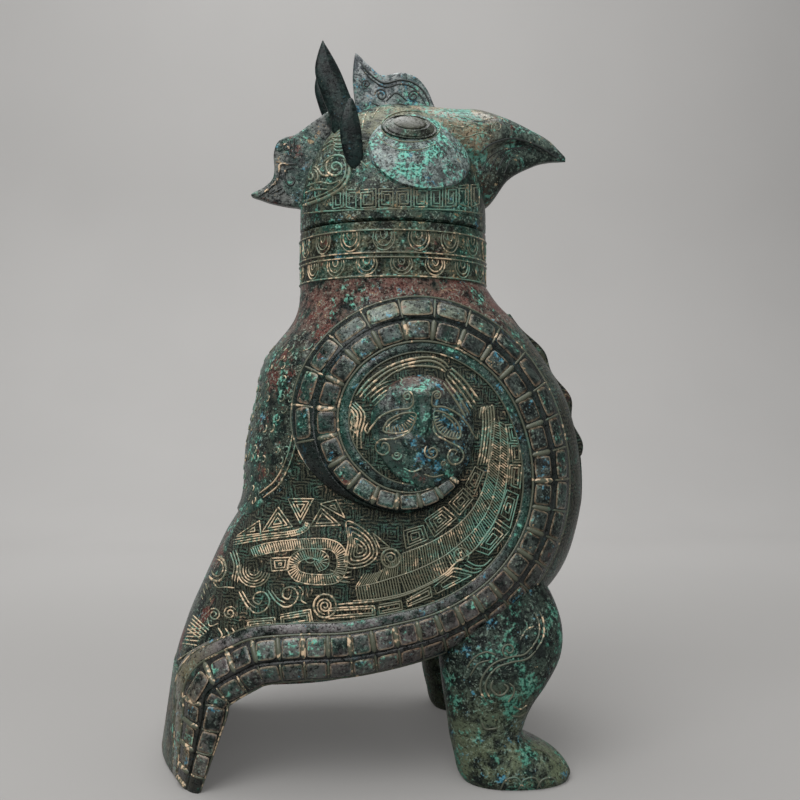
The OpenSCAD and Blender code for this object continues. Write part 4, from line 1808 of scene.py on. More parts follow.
    def boss(self) -> Form:
        """Builds the snake's head: a low shield with a nose ridge.

        Returns:
            The form.
        """
        c = self.middle() + np.array([2.9, -3.0])
        f, a = np.meshgrid(np.linspace(0.0, 1.0, 41)[1:], around(140), indexing="ij")
        wide = self.boss_r * (1.12 - 0.05 * np.cos(2 * a) - 0.17 * np.maximum(0.0, -np.sin(a + 0.75)) ** 2)
        dx, dz = f * wide * np.cos(a), f * wide * np.sin(a)
        rise = self.boss_rise * (1.0 - 0.92 * f**3.5) - 3.0 * smooth(0.93, 1.0, f)
        nose = bell(dx, 3.6 + 0.10 * np.maximum(0.0, dz), 4)
        nose = nose * smooth(-6.0, 3.0, dz) * (1.0 - smooth(24.0, 30.0, dz))
        socket = bell(np.abs(dx) - 13.0, 8.0, 4) * bell(dz - 5.0, 6.0, 4)
        brow = bell(dz - 25.0, 5.0) * bell(dx, 17.0, 4)
        rise = rise + 3.2 * nose + 1.8 * brow - 1.2 * socket
        x, z = c[0] + dx, c[1] + dz
        y = self.vessel.side_y(x, z, self.field_t) + rise
        top = self.vessel.side_y(c[0], c[1], self.field_t) + self.boss_rise + 1.4
        return fan(np.array([c[0], -top, c[1]]), xyz(x, -y, z))


@dataclass
class Leg:
    """Leg of one side, from the thigh under the wing to the broad foot."""

    vessel: Vessel
    foot_y: float = 72.0
    foot_half_w: float = 28.0
    toe_reach: float = 103.0
    heel_reach: float = 33.5
    power: float = 2.3

    def sections(self) -> Stations:
        """Level sections of the leg: height share, back, front, middle and half width."""
        h, t, y, w = self.heel_reach, self.toe_reach, self.foot_y, self.foot_half_w
        return Stations(
            (
                (0.0, 1.075 * h, 0.98 * t, y, 0.92 * w),
                (0.065, h, 0.99 * t, y, w),
                (0.21, 0.94 * h, 0.926 * t, y, 0.97 * w),
                (0.32, 0.89 * h, 0.825 * t, y, 0.9 * w),
                (0.42, 0.85 * h, 0.712 * t, y, 0.86 * w),
                (0.55, 0.82 * h, 0.718 * t, y, 0.85 * w),
                (0.73, 0.77 * h, 0.771 * t, 0.99 * y, 0.9 * w),
                (0.92, 0.72 * h, 0.857 * t, 0.97 * y, 0.97 * w),
                (1.16, 0.68 * h, 0.945 * t, 0.92 * y, 1.02 * w),
                (1.40, 0.66 * h, 0.97 * t, 0.86 * y, 1.02 * w),
                (1.63, 0.65 * h, 0.945 * t, 0.79 * y, w),
                (1.87, 0.65 * h, 0.88 * t, 0.72 * y, 0.96 * w),
                (2.13, 0.65 * h, 0.78 * t, 0.66 * y, 0.88 * w),
            )
        )

    def build(self) -> Form:
        """Builds the leg; where it meets the belly it stays within the belly's wall.

        Returns:
            The form.
        """
        table = self.sections()
        s, a = np.meshgrid(np.linspace(0.0, 1.0, 120) ** 1.15 * 2.05, around(96), indexing="ij")
        qx, qy = round_square(a, np.full(a.shape, self.power))
        b, f = table.at(s, 1), table.at(s, 2)
        x = NECK_X + (f + b) / 2 + (f - b) / 2 * qx
        y = table.at(s, 3) + table.at(s, 4) * qy
        z = s * self.vessel.belly_z
        wall = self.vessel.side_y(x, np.maximum(z, self.vessel.belly_z), -3.0)
        y = np.where(z > self.vessel.belly_z, np.maximum(y, wall), y)
        return loft(xyz(x, -y, z), inward=True)


# The lid


# Sections of the bill: place along it, top, edge, underside, half width and half width of the throat
BILL_SECTIONS = (
    (4.0, 87.4, 82.0, 79.0, 8.0, 6.0),
    (14.0, 87.3, 74.0, 70.0, 21.0, 17.0),
    (28.0, 86.4, 62.0, 52.0, 29.0, 25.0),
    (42.0, 86.0, 52.5, 32.0, 30.0, 25.5),
    (55.0, 86.4, 51.8, 20.0, 27.5, 23.0),
    (64.5, 84.4, 58.5, 20.5, 24.5, 18.5),
    (79.0, 79.6, 63.6, 39.2, 18.5, 12.5),
    (97.0, 71.8, 60.8, 49.2, 11.6, 7.4),
    (107.0, 66.8, 57.0, 51.8, 7.0, 4.6),
    (114.0, 60.6, 53.6, 52.4, 4.0, 2.8),
    (118.8, 56.0, 53.2, 52.6, 0.9, 0.7),
)
# Outlines in side view, from the neck's axis and from the seam
CREST_OUTLINE = (
    (28.0, 84.0), (27.0, 90.0), (22.0, 100.5), (14.5, 107.8), (4.7, 110.0), (-7.6, 107.8),
    (-15.0, 113.0), (-22.0, 119.5), (-25.0, 122.3), (-26.2, 120.0), (-27.3, 107.0), (-26.0, 92.0),
    (-23.0, 79.0), (0.0, 82.0), (15.0, 82.0),
)
NAPE_OUTLINE = (
    (-28.8, 82.0), (-42.1, 83.0), (-49.8, 78.3), (-56.5, 73.4), (-61.4, 69.4), (-67.0, 66.0),
    (-73.5, 64.0), (-78.0, 60.5), (-80.2, 53.0), (-79.8, 43.5), (-81.0, 36.5), (-86.5, 31.0),
    (-95.2, 25.8), (-88.0, 22.6), (-79.4, 20.0), (-66.0, 17.9), (-57.0, 19.0), (-50.0, 40.0),
    (-38.0, 60.0),
)
HORN_OUTLINE = (
    (-21.2, 60.0), (-25.4, 77.7), (-29.7, 88.0), (-37.2, 106.0), (-46.6, 122.1), (-48.4, 122.9),
    (-52.8, 106.0), (-49.8, 91.6), (-43.0, 73.6), (-41.2, 64.0), (-31.2, 58.0),
)
EAR_OUTLINE = (
    (-23.2, 40.0), (-24.2, 57.0), (-27.2, 70.5), (-30.7, 77.6), (-35.7, 70.0), (-37.7, 58.5),
    (-35.7, 44.0), (-31.7, 35.0), (-25.7, 34.0),
)


@dataclass
class Lid:
    """Head of the bird, which is the lid."""

    vessel: Vessel
    rim_h: float = 10.0
    dome_h: float = 77.0
    wall: float = 6.0
    gap: float = 0.3
    land_r: float = 56.25
    land_h: float = 9.3
    cheek_t: float = 3.0
    crest_t: float = 9.0
    nape_t: float = 9.0
    blade_bevel: float = 2.0
    horn_t: float = 8.0
    horn_y: float = 20.0
    ear_t: float = 6.0
    ear_y: float = 52.0

    @property
    def seam(self) -> float:
        """Height of the seam."""
        return self.vessel.seam_z

    def dome_r(self, h: Array, out: Array) -> Array:
        """Radius of the dome at a height above the seam."""
        r = self.vessel.neck_r + out
        arch = np.sqrt(np.maximum(0.0, 1.0 - ((h - self.rim_h) / (self.dome_h + out)) ** 2))
        return np.where(h <= self.rim_h, r, r * arch)

    def dome_y(self, x: Array, h: Array, out: Array) -> Array:
        """Half width of the dome at a place in its side view."""
        return np.sqrt(np.maximum(1.0, self.dome_r(h, out) ** 2 - (x - NECK_X) ** 2))

    def dome(self) -> Form:
        """Builds the hollow dome with its plain rim.

        Returns:
            The form.
        """
        r, cut, gap = self.vessel.neck_r, self.vessel.seam_cut, self.gap
        lip = [(r - cut, gap), (r - 0.7 * cut, gap + 0.5), (r, gap + 1.3)]
        groove = [(r + 0.1, 6.2), (r - 0.7, 6.9), (r - 0.7, 7.6), (r, 8.2)]
        t = np.linspace(0.0, math.pi / 2, 70)
        outer = [(r * math.cos(v), self.rim_h + self.dome_h * math.sin(v)) for v in t]
        inner_r, inner_h = self.land_r - 1.5, self.dome_h - self.wall
        inner = [(inner_r * math.cos(v), self.rim_h + inner_h * math.sin(v)) for v in t[::-3]]
        land = [(inner_r, self.land_h), (self.land_r, self.land_h), (self.land_r, gap)]
        rows = np.array(lip + groove + outer + inner + land)
        rings = round_neck(rows[:, :1], around(240), self.seam + rows[:, 1:])
        return loft(np.concatenate([rings, rings[:1]]), caps=False)

    def bill(self) -> Form:
        """Builds the hooked bill, whose upper half overhangs the lower.

        Returns:
            The form.
        """
        table = Stations(BILL_SECTIONS)
        root, tip = BILL_SECTIONS[0][0], BILL_SECTIONS[-1][0]
        u = root + (tip - root) * np.linspace(0.0, 1.0, 110) ** 0.92
        top, edge, low = table.at(u, 1), table.at(u, 2), table.at(u, 3)
        wide, throat = table.at(u, 4), table.at(u, 5)
        waist = edge + 0.28 * (top - edge)
        half = []
        for t in np.linspace(0.0, math.pi / 2, 18):
            half.append((wide * np.sin(t), waist + (top - waist) * np.cos(t) ** 1.15))
        for t in np.linspace(0.0, 1.0, 7)[1:]:
            half.append((wide * (1.0 - 0.05 * t * t), waist + (edge - waist) * t))
        under = np.maximum(low, edge - np.minimum(3.0, 0.5 * (edge - low)))
        half.append((wide * 0.9, edge - 0.25 * (edge - under)))
        for t in np.linspace(0.0, math.pi / 2, 16):
            half.append((throat * np.cos(t) ** 0.7, under + (low - under) * np.sin(t) ** 1.1))
        right = np.array(half).transpose(2, 0, 1)
        y = np.concatenate([-right[..., 0], right[:, -2:0:-1, 0]], axis=1)
        z = np.concatenate([right[..., 1], right[:, -2:0:-1, 1]], axis=1)
        return loft(xyz(NECK_X + u[:, None], y, self.seam + z), inward=True)

    def oval(self, middle: tuple[float, float], long: float, high: float) -> tuple[Array, ...]:
        """Grid of an oval on the side of the head.

        Args:
            middle: its middle, from the neck's axis and from the seam.
            long: half of its length.
            high: half of its height.

        Returns:
            Share of the radius, the two places in the oval, and the two places in side view.
        """
        f, a = np.meshgrid(np.linspace(0.0, 1.0, 41)[1:], around(120), indexing="ij")
        u, v = f * np.cos(a), f * np.sin(a)
        return f, u, v, NECK_X + middle[0] + long * u, middle[1] + high * v

    def pad(self, middle: tuple[float, float], top: float, x: Array, h: Array, rise: Array) -> Form:
        """Builds an oval that stands on the side of the dome.

        Args:
            middle: its middle, from the neck's axis and from the seam.
            top: its rise at the middle.
            x: places of its grid along the bird.
            h: their heights above the seam.
            rise: their rise above the dome.

        Returns:
            The form.
        """
        lift = 0.2
        x0, h0 = NECK_X + middle[0], middle[1]
        centre = np.array([x0, -(self.dome_y(x0, h0, lift) + top), self.seam + h0])
        return fan(centre, xyz(x, -(self.dome_y(x, h, lift) + rise), self.seam + h))

    def cheek(self) -> Form:
        """Builds the raised cheek, crisp below and fading into the brow above.

        Returns:
            The form.
        """
        middle = (14.2, 46.4)
        f, _, v, x, h = self.oval(middle, 34.6, 27.8)
        fade = 1.0 - 0.85 * smooth(0.15, 0.75, v)
        rise = self.cheek_t * (0.75 + 0.45 * (1.0 - f * f)) * fade - 3.5 * smooth(0.955, 1.0, f)
        return self.pad(middle, 1.2 * self.cheek_t, x, h, rise)

    def eye(self) -> Form:
        """Builds the eye: a lidded oval with a flat pupil high in it.

        Returns:
            The form, whose pupil is marked.
        """
        middle = (6.5, 60.9)
        f, u, v, x, h = self.oval(middle, 18.5, 9.5)
        pupil = np.hypot(u / 0.60, (v - 0.30) / 0.62)
        rise = self.cheek_t + 1.0 + 3.4 * (1.0 - 0.75 * f * f)
        rise -= 0.9 * bell(pupil - 1.0, 0.07)
        rise += 0.35 * bell(pupil - 1.16, 0.09)
        rise -= 0.8 * bell(f - 0.86, 0.035)
        rise -= 6.0 * smooth(0.95, 1.0, f)
        form = self.pad(middle, self.cheek_t + 4.4, x, h, rise)
        form.marks["rim"] = np.concatenate([[0.0], (1.0 - smooth(0.9, 1.02, pupil)).ravel()])
        return form

    def blade(self, outline: Array, thick: float) -> Form:
        """Builds an upright blade with rounded edges in the middle plane.

        Args:
            outline: its outline in side view, from the neck's axis and from the seam, anticlockwise.
            thick: its thickness.

        Returns:
            The form.
        """
        bevel = self.blade_bevel
        d = np.roll(outline, -1, axis=0) - np.roll(outline, 1, axis=0)
        length = np.maximum(1e-9, np.linalg.norm(d, axis=1))
        normal = np.stack([d[:, 1], -d[:, 0]], axis=1) / length[:, None]
        rings = []
        for t in np.linspace(-math.pi / 2, math.pi / 2, 12):
            flat = outline - normal * bevel * (1.0 - math.cos(t))
            depth = (thick / 2 - bevel) * np.sign(t) + bevel * math.sin(t)
            rings.append(xyz(NECK_X + flat[:, 0], depth, self.seam + flat[:, 1]))
        form = loft(np.array(rings), caps=False, inward=True)
        flat_side = [Vector((x, z, 0.0)) for x, _, z in rings[0]]
        last = len(form.verts) - len(flat_side)
        for a, b, c in tessellate_polygon([flat_side]):
            area = (flat_side[b] - flat_side[a]).cross(flat_side[c] - flat_side[a]).z
            face = (a, b, c) if area > 0.0 else (c, b, a)
            form.faces.append(face)
            form.faces.append(tuple(last + i for i in face[::-1]))
        return form

    def leaf(self, outline: Array, thick: float, y: float) -> Form:
        """Builds a lens-shaped leaf, for a horn or an ear.

        Args:
            outline: its outline in side view, anticlockwise.
            thick: its thickness.
            y: place of its middle, on the right side.

        Returns:
            The form.
        """
        middle = outline.mean(axis=0)
        rings = []
        for t in np.linspace(-1.0, 1.0, 25)[1:-1]:
            flat = middle + (outline - middle) * math.sqrt(1.0 - abs(t) ** 2.2)
            rings.append(xyz(NECK_X + flat[:, 0], -y + t * thick / 2, self.seam + flat[:, 1]))
        return loft(np.array(rings), inward=True)

    def crest(self) -> Form:
        """Builds the crest on the crown."""
        return self.blade(rounded(CREST_OUTLINE, 1.2), self.crest_t)

    def nape(self) -> Form:
        """Builds the hooked flange at the nape."""
        return self.blade(rounded(NAPE_OUTLINE, 1.2), self.nape_t)

    def horn(self) -> Form:
        """Builds a horn."""
        return self.leaf(rounded(HORN_OUTLINE, 1.4), self.horn_t, self.horn_y)

    def ear(self) -> Form:
        """Builds an ear."""
        return self.leaf(rounded(EAR_OUTLINE, 1.4), self.ear_t, self.ear_y)


# Ornament


@dataclass
class WingOrnament:
    """Lines of the wing: the snake's face in the coil, feathers, frets and the small dragon behind."""

    def face(self) -> Drawing:
        """Draws the snake's face and the arcs above it.

        Returns:
            The drawing.
        """
        d = Drawing(left=340.0, top=340.0, scale=6.0)
        d.curve([(95, 335), (180, 238), (300, 158), (420, 116), (540, 104), (618, 130), (652, 165)], 1.3)
        d.curve([(118, 345), (200, 256), (310, 178), (440, 136), (540, 126), (605, 150), (640, 185)], 1.3)
        d.curve([(145, 350), (225, 274), (320, 198), (400, 166)], 0.9)
        for k in range(4):
            d.curve([(165 + 14 * k, 330 + 22 * k), (230 + 8 * k, 278 + 24 * k),
                     (292 - 4 * k, 248 + 26 * k)], 0.9)
        for k in range(5):
            d.curve([(668 - 12 * k, 168 + 22 * k), (750 - 16 * k, 248 + 26 * k),
                     (835 - 20 * k, 362 + 26 * k)], 1.2)
        for k in range(5):
            x = 842 + 17 * k
            d.curve([(x - 6, 470 - 18 * k), (x + 8, 405 - 2 * k), (x + 16, 500), (x + 8, 600), (x - 4, 690),
                     (x - 18, 750)], 0.9)
        for k in range(4):
            d.curve([(90 - 14 * k, 372 + 10 * k), (150 - 22 * k, 450), (128 - 22 * k, 560),
                     (128 - 26 * k, 650 + 8 * k)], 0.9)
        d.nest([(62, 420), (108, 470), (96, 560), (48, 520)], 15)
        d.spiral(405, 337, 33, 6, -1.6, 10, 0.9)
        d.curve([(438, 338), (438, 385), (408, 412), (330, 420), (245, 458), (190, 520), (165, 560),
                 (150, 535), (170, 495)])
        d.spiral(582, 333, 30, 6, 1.6, 180, 0.9)
        d.curve([(552, 335), (556, 395), (622, 402), (700, 438), (762, 500), (800, 566), (822, 592),
                 (826, 560)])
        d.loop([(452, 440), (370, 442), (292, 482), (262, 530), (270, 552), (352, 560), (420, 538),
                (448, 492)])
        d.curve([(362, 462), (310, 492), (284, 524)], 0.8)
        d.ribs([(280, 536), (340, 534), (400, 512), (440, 462)], 20, 17, 4, 0.8)
        d.loop([(562, 438), (606, 430), (684, 472), (722, 540), (712, 592), (640, 582), (582, 530)])
        d.curve([(612, 446), (668, 484), (700, 536)], 0.8)
        d.ribs([(574, 462), (602, 522), (650, 560), (700, 574)], 20, 17, -4, 0.8)
        d.curve([(450, 496), (408, 556), (330, 590), (244, 600), (214, 634), (226, 672), (262, 690),
                 (296, 664), (288, 626), (258, 618), (250, 642)])
        d.curve([(556, 486), (572, 560), (642, 606), (712, 642), (742, 692), (720, 736), (672, 745),
                 (646, 702), (666, 660), (702, 666), (690, 690)])
        d.spiral(552, 672, 48, 8, -1.5, 230)
        d.spiral(622, 740, 17, 4, 1.2, 90, 0.8)
        d.arc(342, 690, 28, -10, 190)
        d.ring(342, 686, 15, 9, 0.8)
        d.curve([(380, 768), (432, 790), (492, 772)], 0.8)
        d.curve([(505, 806), (560, 822), (622, 808)], 0.8)
        d.curve([(345, 192), (392, 166), (480, 156), (580, 166), (632, 192)], 1.2)
        d.curve([(352, 224), (372, 238), (364, 262), (382, 276)], 0.7)
        return d.thickened(1.22)

    def dragon(self) -> Drawing:
        """Draws the small dragon and the frets behind the coil.

        Returns:
            The drawing.
        """
        d = Drawing(left=160.0, top=500.0, scale=5.0)
        d.nest([(380, 184), (498, 104), (505, 168)], 13)
        d.nest([(512, 160), (592, 36), (662, 134)], 13)
        d.nest([(640, -6), (768, -6), (702, 118)], 13)
        d.nest([(752, 132), (806, 40), (902, 126)], 13)
        d.nest([(800, 20), (880, 0), (925, 90)], 13)
        d.beside([(368, 212), (520, 186), (660, 168), (724, 146), (740, 112)], (-12, 0, 12), 0.9)
        d.ribs([(640, 168), (712, 150), (736, 118)], 12, 11, 3, 0.8)
        main = [(462, 262), (560, 238), (700, 222), (840, 222), (902, 262), (908, 340), (872, 392),
                (770, 398), (690, 380), (662, 332), (690, 286), (752, 268), (812, 284), (818, 318),
                (782, 336)]
        d.ribs(main, 23, 11.5, 6, 0.85)
        d.beside(main, (-25, 25), 0.9)
        d.ring(752, 302, 22, 14, 0.9)
        for r in (26, 40, 54, 68, 82):
            d.arc(470, 352, r, 10, 205, 0.9)
        d.nest([(552, 292), (650, 288), (640, 350), (560, 356)], 13)
        d.ring(285, 345, 46, 62, 1.6)
        d.ring(287, 340, 30, 42, 1.1)
        for k in range(3):
            d.curve([(352 + 14 * k, 262 - 6 * k), (372 + 14 * k, 330), (360 + 14 * k, 400 + 6 * k)], 0.9)
        d.curve([(268, 412), (290, 438), (330, 436), (372, 440)], 0.9)
        d.curve([(395, 458), (430, 522), (478, 566), (530, 548), (548, 500), (520, 462), (478, 470),
                 (468, 506), (496, 522), (512, 500)], 1.1)
        d.curve([(412, 456), (446, 514), (480, 540)], 0.8)
        d.curve([(540, 452), (580, 508), (626, 536), (674, 516), (690, 472), (662, 438), (622, 446),
                 (614, 482), (642, 496), (656, 474)], 1.1)
        d.curve([(556, 450), (592, 496), (626, 514)], 0.8)
        d.spiral(272, 574, 34, 6, 1.7, 200, 0.95)
        d.spiral(350, 566, 34, 6, -1.7, -30, 0.95)
        d.curve([(238, 590), (250, 630), (292, 618)], 0.8)
        d.key([(440, 600), (574, 588), (580, 672), (444, 690)], 12)
        d.key([(604, 574), (752, 548), (766, 622), (610, 644)], 12)
        d.curve([(692, 430), (716, 460), (706, 500), (736, 520)], 0.9)
        d.spiral(825, 530, 42, 6, 2.2, 90, 0.9)
        d.ring(825, 530, 56, 58, 1.3)
        for k in range(3):
            d.curve([(292 + 34 * k, 640), (312 + 34 * k, 676), (296 + 34 * k, 706), (318 + 34 * k, 742)],
                    0.9)
        for k in range(5):
            d.corners([(148 - 6 * k, 560 + 18 * k), (246 - 12 * k, 652 + 10 * k)], 0.85)
            d.corners([(128 - 8 * k, 650 + 16 * k), (228 - 10 * k, 640 + 22 * k)], 0.85)
        for k in range(3):
            d.curve([(222 - 12 * k, 396 + 24 * k), (238 - 12 * k, 448 + 24 * k)], 0.9)
        d.curve([(60, 822), (150, 762), (262, 700)], 1.2)
        d.curve([(48, 882), (150, 826), (300, 762), (390, 738)], 1.2)
        return d

    def feathers(self) -> Drawing:
        """Draws the long feathers and frets that sweep below and before the coil.

        Returns:
            The drawing.
        """
        d = Drawing(left=340.0, top=500.0, scale=6.0)
        spine = [(95, 522), (200, 502), (300, 472), (400, 440), (480, 410), (560, 372), (640, 326),
                 (720, 262), (800, 186), (862, 104), (905, 20), (935, -80), (955, -190), (962, -300),
                 (960, -420), (950, -500)]
        inner = [(115, 440), (230, 430), (372, 322), (520, 266), (640, 200), (740, 120), (812, 30),
                 (856, -60), (884, -160), (898, -280), (902, -400), (892, -480)]
        outer = [(78, 606), (240, 592), (400, 556), (540, 496), (640, 432), (700, 372), (790, 312),
                 (868, 222), (930, 120), (972, 10), (998, -110), (1008, -240), (1004, -360), (990, -450)]
        d.vane(inner, spine, 15, -26)
        d.vane(spine, outer, 16, 30)
        d.curve(spine)
        d.curve(inner[2:], 1.1)
        d.curve(outer, 1.1)
        d.curve([(-10, 626), (120, 616), (260, 600), (400, 566), (560, 494), (650, 440), (690, 410),
                 (800, 436), (850, 420)], 1.2)
        d.key([(-70, 650), (206, 636), (212, 690), (-66, 712)], 14)
        d.key([(232, 630), (366, 606), (376, 656), (238, 684)], 14)
        d.key([(396, 600), (540, 520), (552, 580), (406, 640)], 14)
        d.nest([(562, 520), (680, 428), (790, 452), (580, 562)], 14)
        d.nest([(806, 300), (930, 130), (1010, 190), (890, 330)], 15)
        d.nest([(940, 110), (1000, -60), (1070, -30), (1020, 170)], 15)
        d.key([(1012, -92), (1018, -210), (1090, -206), (1078, -66)], 15)
        d.key([(1020, -226), (1012, -340), (1086, -336), (1092, -226)], 15)
        d.key([(1010, -356), (992, -450), (1070, -452), (1084, -356)], 15)
        d.nest([(380, 186), (500, 152), (530, 236), (396, 292)], 15)
        d.nest([(508, 120), (620, 40), (700, 108), (566, 222)], 15)
        d.nest([(650, 20), (740, -70), (800, -10), (716, 92)], 15)
        d.nest([(752, -90), (810, -200), (862, -170), (806, -34)], 15)
        tear = np.array([(40, 130), (130, 168), (200, 240), (222, 330), (160, 392), (60, 408), (28, 366),
                         (50, 250)], float)
        middle = np.array([118.0, 300.0])
        for share in (1.0, 0.80, 0.60, 0.40, 0.20):
            d.loop(middle + (tear - middle) * share)
        d.nest([(196, 196), (300, 286), (240, 292)], 13)
        d.ring(305, 350, 56, 56, 1.3)
        d.spiral(305, 350, 42, 6, 1.8, 120)
        d.spiral(722, 332, 52, 8, -1.7, 40, 1.1)
        d.curve([(762, 366), (810, 392), (862, 392), (910, 352)])
        d.curve([(744, 388), (800, 412), (850, 410)], 0.9)
        for k in range(3):
            d.curve([(-60 + 22 * k, 420 + 30 * k), (10 * k, 440 + 26 * k), (70 - 4 * k, 432 + 30 * k)], 0.9)
        return d


@dataclass
class HeadOrnament:
    """Lines of the head: brow, bill, cheek, the mask behind the ear, and the fret above the rim."""

    def side(self) -> Drawing:
        """Draws the side of the head.

        Returns:
            The drawing.
        """
        d = Drawing()
        for x0, x1, lean in ((333, 356, 2), (361, 393, 1), (397, 427, 0), (431, 456, -1), (459, 479, -3)):
            middle = (x0 + x1) / 2
            d.key([(x0, 189 + lean), (middle - 1, 188 + lean), (middle - 1, 207), (x0, 207 + lean)], 2.9,
                  0.9)
            d.key([(x1, 188 + lean), (middle + 2, 188 + lean), (middle + 2, 207), (x1, 207 + lean)], 2.9,
                  0.9)
        d.curve([(299, 214), (330, 211), (370, 209.5), (410, 209), (450, 210), (483, 214)], 1.1)
        d.ring(411, 126.5, 29.5, 15.5, 1.2)
        d.curve([(376, 132), (384, 142), (398, 149), (418, 150), (436, 144)], 0.9)
        d.curve([(372, 118), (380, 108), (396, 103), (416, 103), (436, 109)])
        d.curve([(362, 128), (366, 114), (376, 104), (390, 99)], 0.9)
        d.curve([(356, 150), (360, 160), (368, 168)])
        return d

    def mask(self) -> Drawing:
        """Draws the mask behind the ear and the plume above it.

        Returns:
            The drawing.
        """
        d = Drawing(left=245.0, top=95.0, scale=7.0)
        d.curve([(712, 440), (734, 500), (720, 590), (670, 660), (590, 708), (480, 752), (388, 778)], 1.8)
        d.curve([(690, 450), (708, 510), (690, 590), (640, 645), (560, 690), (460, 730), (400, 745)], 0.9)
        d.spiral(635, 510, 74, 10, -1.6, -100, 1.2)
        d.spiral(455, 578, 66, 10, 1.6, -80, 1.2)
        d.curve([(392, 520), (440, 492), (500, 510), (540, 560), (588, 566)], 1.2)
        d.curve([(556, 470), (610, 430), (680, 428), (716, 470)], 1.2)
        for k in range(3):
            d.curve([(540 + 8 * k, 392 - 30 * k), (610, 352 - 26 * k), (690, 350 - 30 * k)])
        for k in range(4):
            d.curve([(604 + 6 * k, 300 + 24 * k), (640, 318 + 24 * k), (694, 316 + 24 * k)], 0.8)
        d.spiral(548, 232, 62, 10, 1.7, 160, 1.2)
        d.curve([(430, 640), (520, 612), (600, 622), (660, 600)], 0.9)
        d.curve([(408, 690), (500, 662), (580, 662)], 0.9)
        d.curve([(360, 640), (372, 700), (362, 760)], 1.2)
        return d.thickened(1.35)

    def blades(self) -> Drawing:
        """Draws the lines of the crest and of the nape's hook.

        Returns:
            The drawing.
        """
        d = Drawing()
        d.curve([(360, 62), (370, 74), (384, 83), (400, 80), (414, 83), (424, 92), (430, 104)])
        d.curve([(361, 68), (371, 79), (385, 87), (400, 84), (412, 87), (420, 95), (426, 105)], 0.8)
        d.spiral(381, 95, 6.5, 1.2, 1.6, 180, 0.9)
        d.spiral(413, 96, 6.0, 1.2, -1.6, 0, 0.9)
        d.spiral(366, 84, 4.5, 1.0, 1.4, 150, 0.8)
        d.curve([(386, 101), (396, 93), (407, 101)], 0.9)
        d.curve([(372, 103), (384, 107), (398, 104), (414, 107), (428, 106)], 0.9)
        n = Drawing(left=245.0, top=95.0, scale=7.0)
        n.spiral(290, 360, 30, 8, 1.5, -60, 1.1)
        n.curve([(312, 318), (312, 400), (330, 430), (352, 440)], 1.2)
        n.curve([(344, 300), (342, 386), (362, 410)])
        n.curve([(362, 486), (250, 488), (240, 540), (218, 606), (160, 662), (96, 712)], 1.3)
        n.curve([(338, 512), (290, 520), (276, 570), (296, 622), (330, 630), (346, 594), (322, 566)], 1.1)
        n.curve([(208, 660), (170, 690)])
        n.curve([(262, 650), (180, 694)])
        n.curve([(280, 668), (240, 700)], 0.9)
        d.lines += n.lines
        return d

    def bill(self) -> Drawing:
        """Draws the flames at the bill's root.

        Returns:
            The drawing.
        """
        d = Drawing()
        d.spiral(497, 127, 6, 1.2, 1.5, 120, 0.9)
        d.curve([(446, 118), (462, 116), (478, 121), (488, 119), (500, 118), (510, 124)], 0.9)
        d.curve([(448, 124), (462, 127), (474, 123), (486, 127)], 0.9)
        d.curve([(452, 133), (466, 137), (480, 133), (494, 137)], 0.9)
        return d

    def mouth(self) -> Drawing:
        """Draws the bill's edge and the ridges in its mouth.

        Returns:
            The drawing.
        """
        d = Drawing()
        d.curve([(480, 153), (491, 144), (512, 138.5), (536, 145), (557, 158)], 1.3)
        for k in range(4):
            d.curve([(482 + 7 * k, 170 + 2 * k), (490 + 8 * k, 157 - k), (506 + 8 * k, 149 - k),
                     (524 + 7 * k, 149 + 1.5 * k)], 0.9)
        return d


@dataclass
class LegOrnament:
    """Scrolls on the outer face of the leg."""

    def scrolls(self) -> Drawing:
        """Draws the scrolls.

        Returns:
            The drawing.
        """
        d = Drawing()
        d.beside([(534, 649), (525, 657), (510, 660), (495, 666), (485, 678), (483, 690), (489, 701)],
                 (-2.6, 2.6))
        d.curve([(493, 680), (491, 688), (497, 695), (504, 694), (508, 688), (504, 684)], 1.2)
        d.curve([(508, 702), (513, 695), (514, 688), (509, 683)])
        d.spiral(509, 650, 8, 1.6, 1.4, 60)
        d.beside([(534, 649), (541, 636), (541, 622), (537, 612)], (-2.4, 2.4))
        d.curve([(520, 640), (526, 630), (534, 626)], 0.9)
        d.curve([(513, 706), (520, 709), (527, 705)])
        d.curve([(512, 716), (520, 716), (527, 711)], 1.1)
        d.curve([(482, 723), (486, 729), (498, 728)])
        d.curve([(467, 668), (474, 658), (486, 652), (496, 655)])
        d.curve([(470, 676), (478, 664), (490, 660)], 0.8)
        for k in range(3):
            d.curve([(500 + 18 * k, 790), (506 + 18 * k, 780), (517 + 18 * k, 778), (524 + 17 * k, 788)])
        d.curve([(530, 748), (545, 752), (556, 762)], 0.9)
        return d


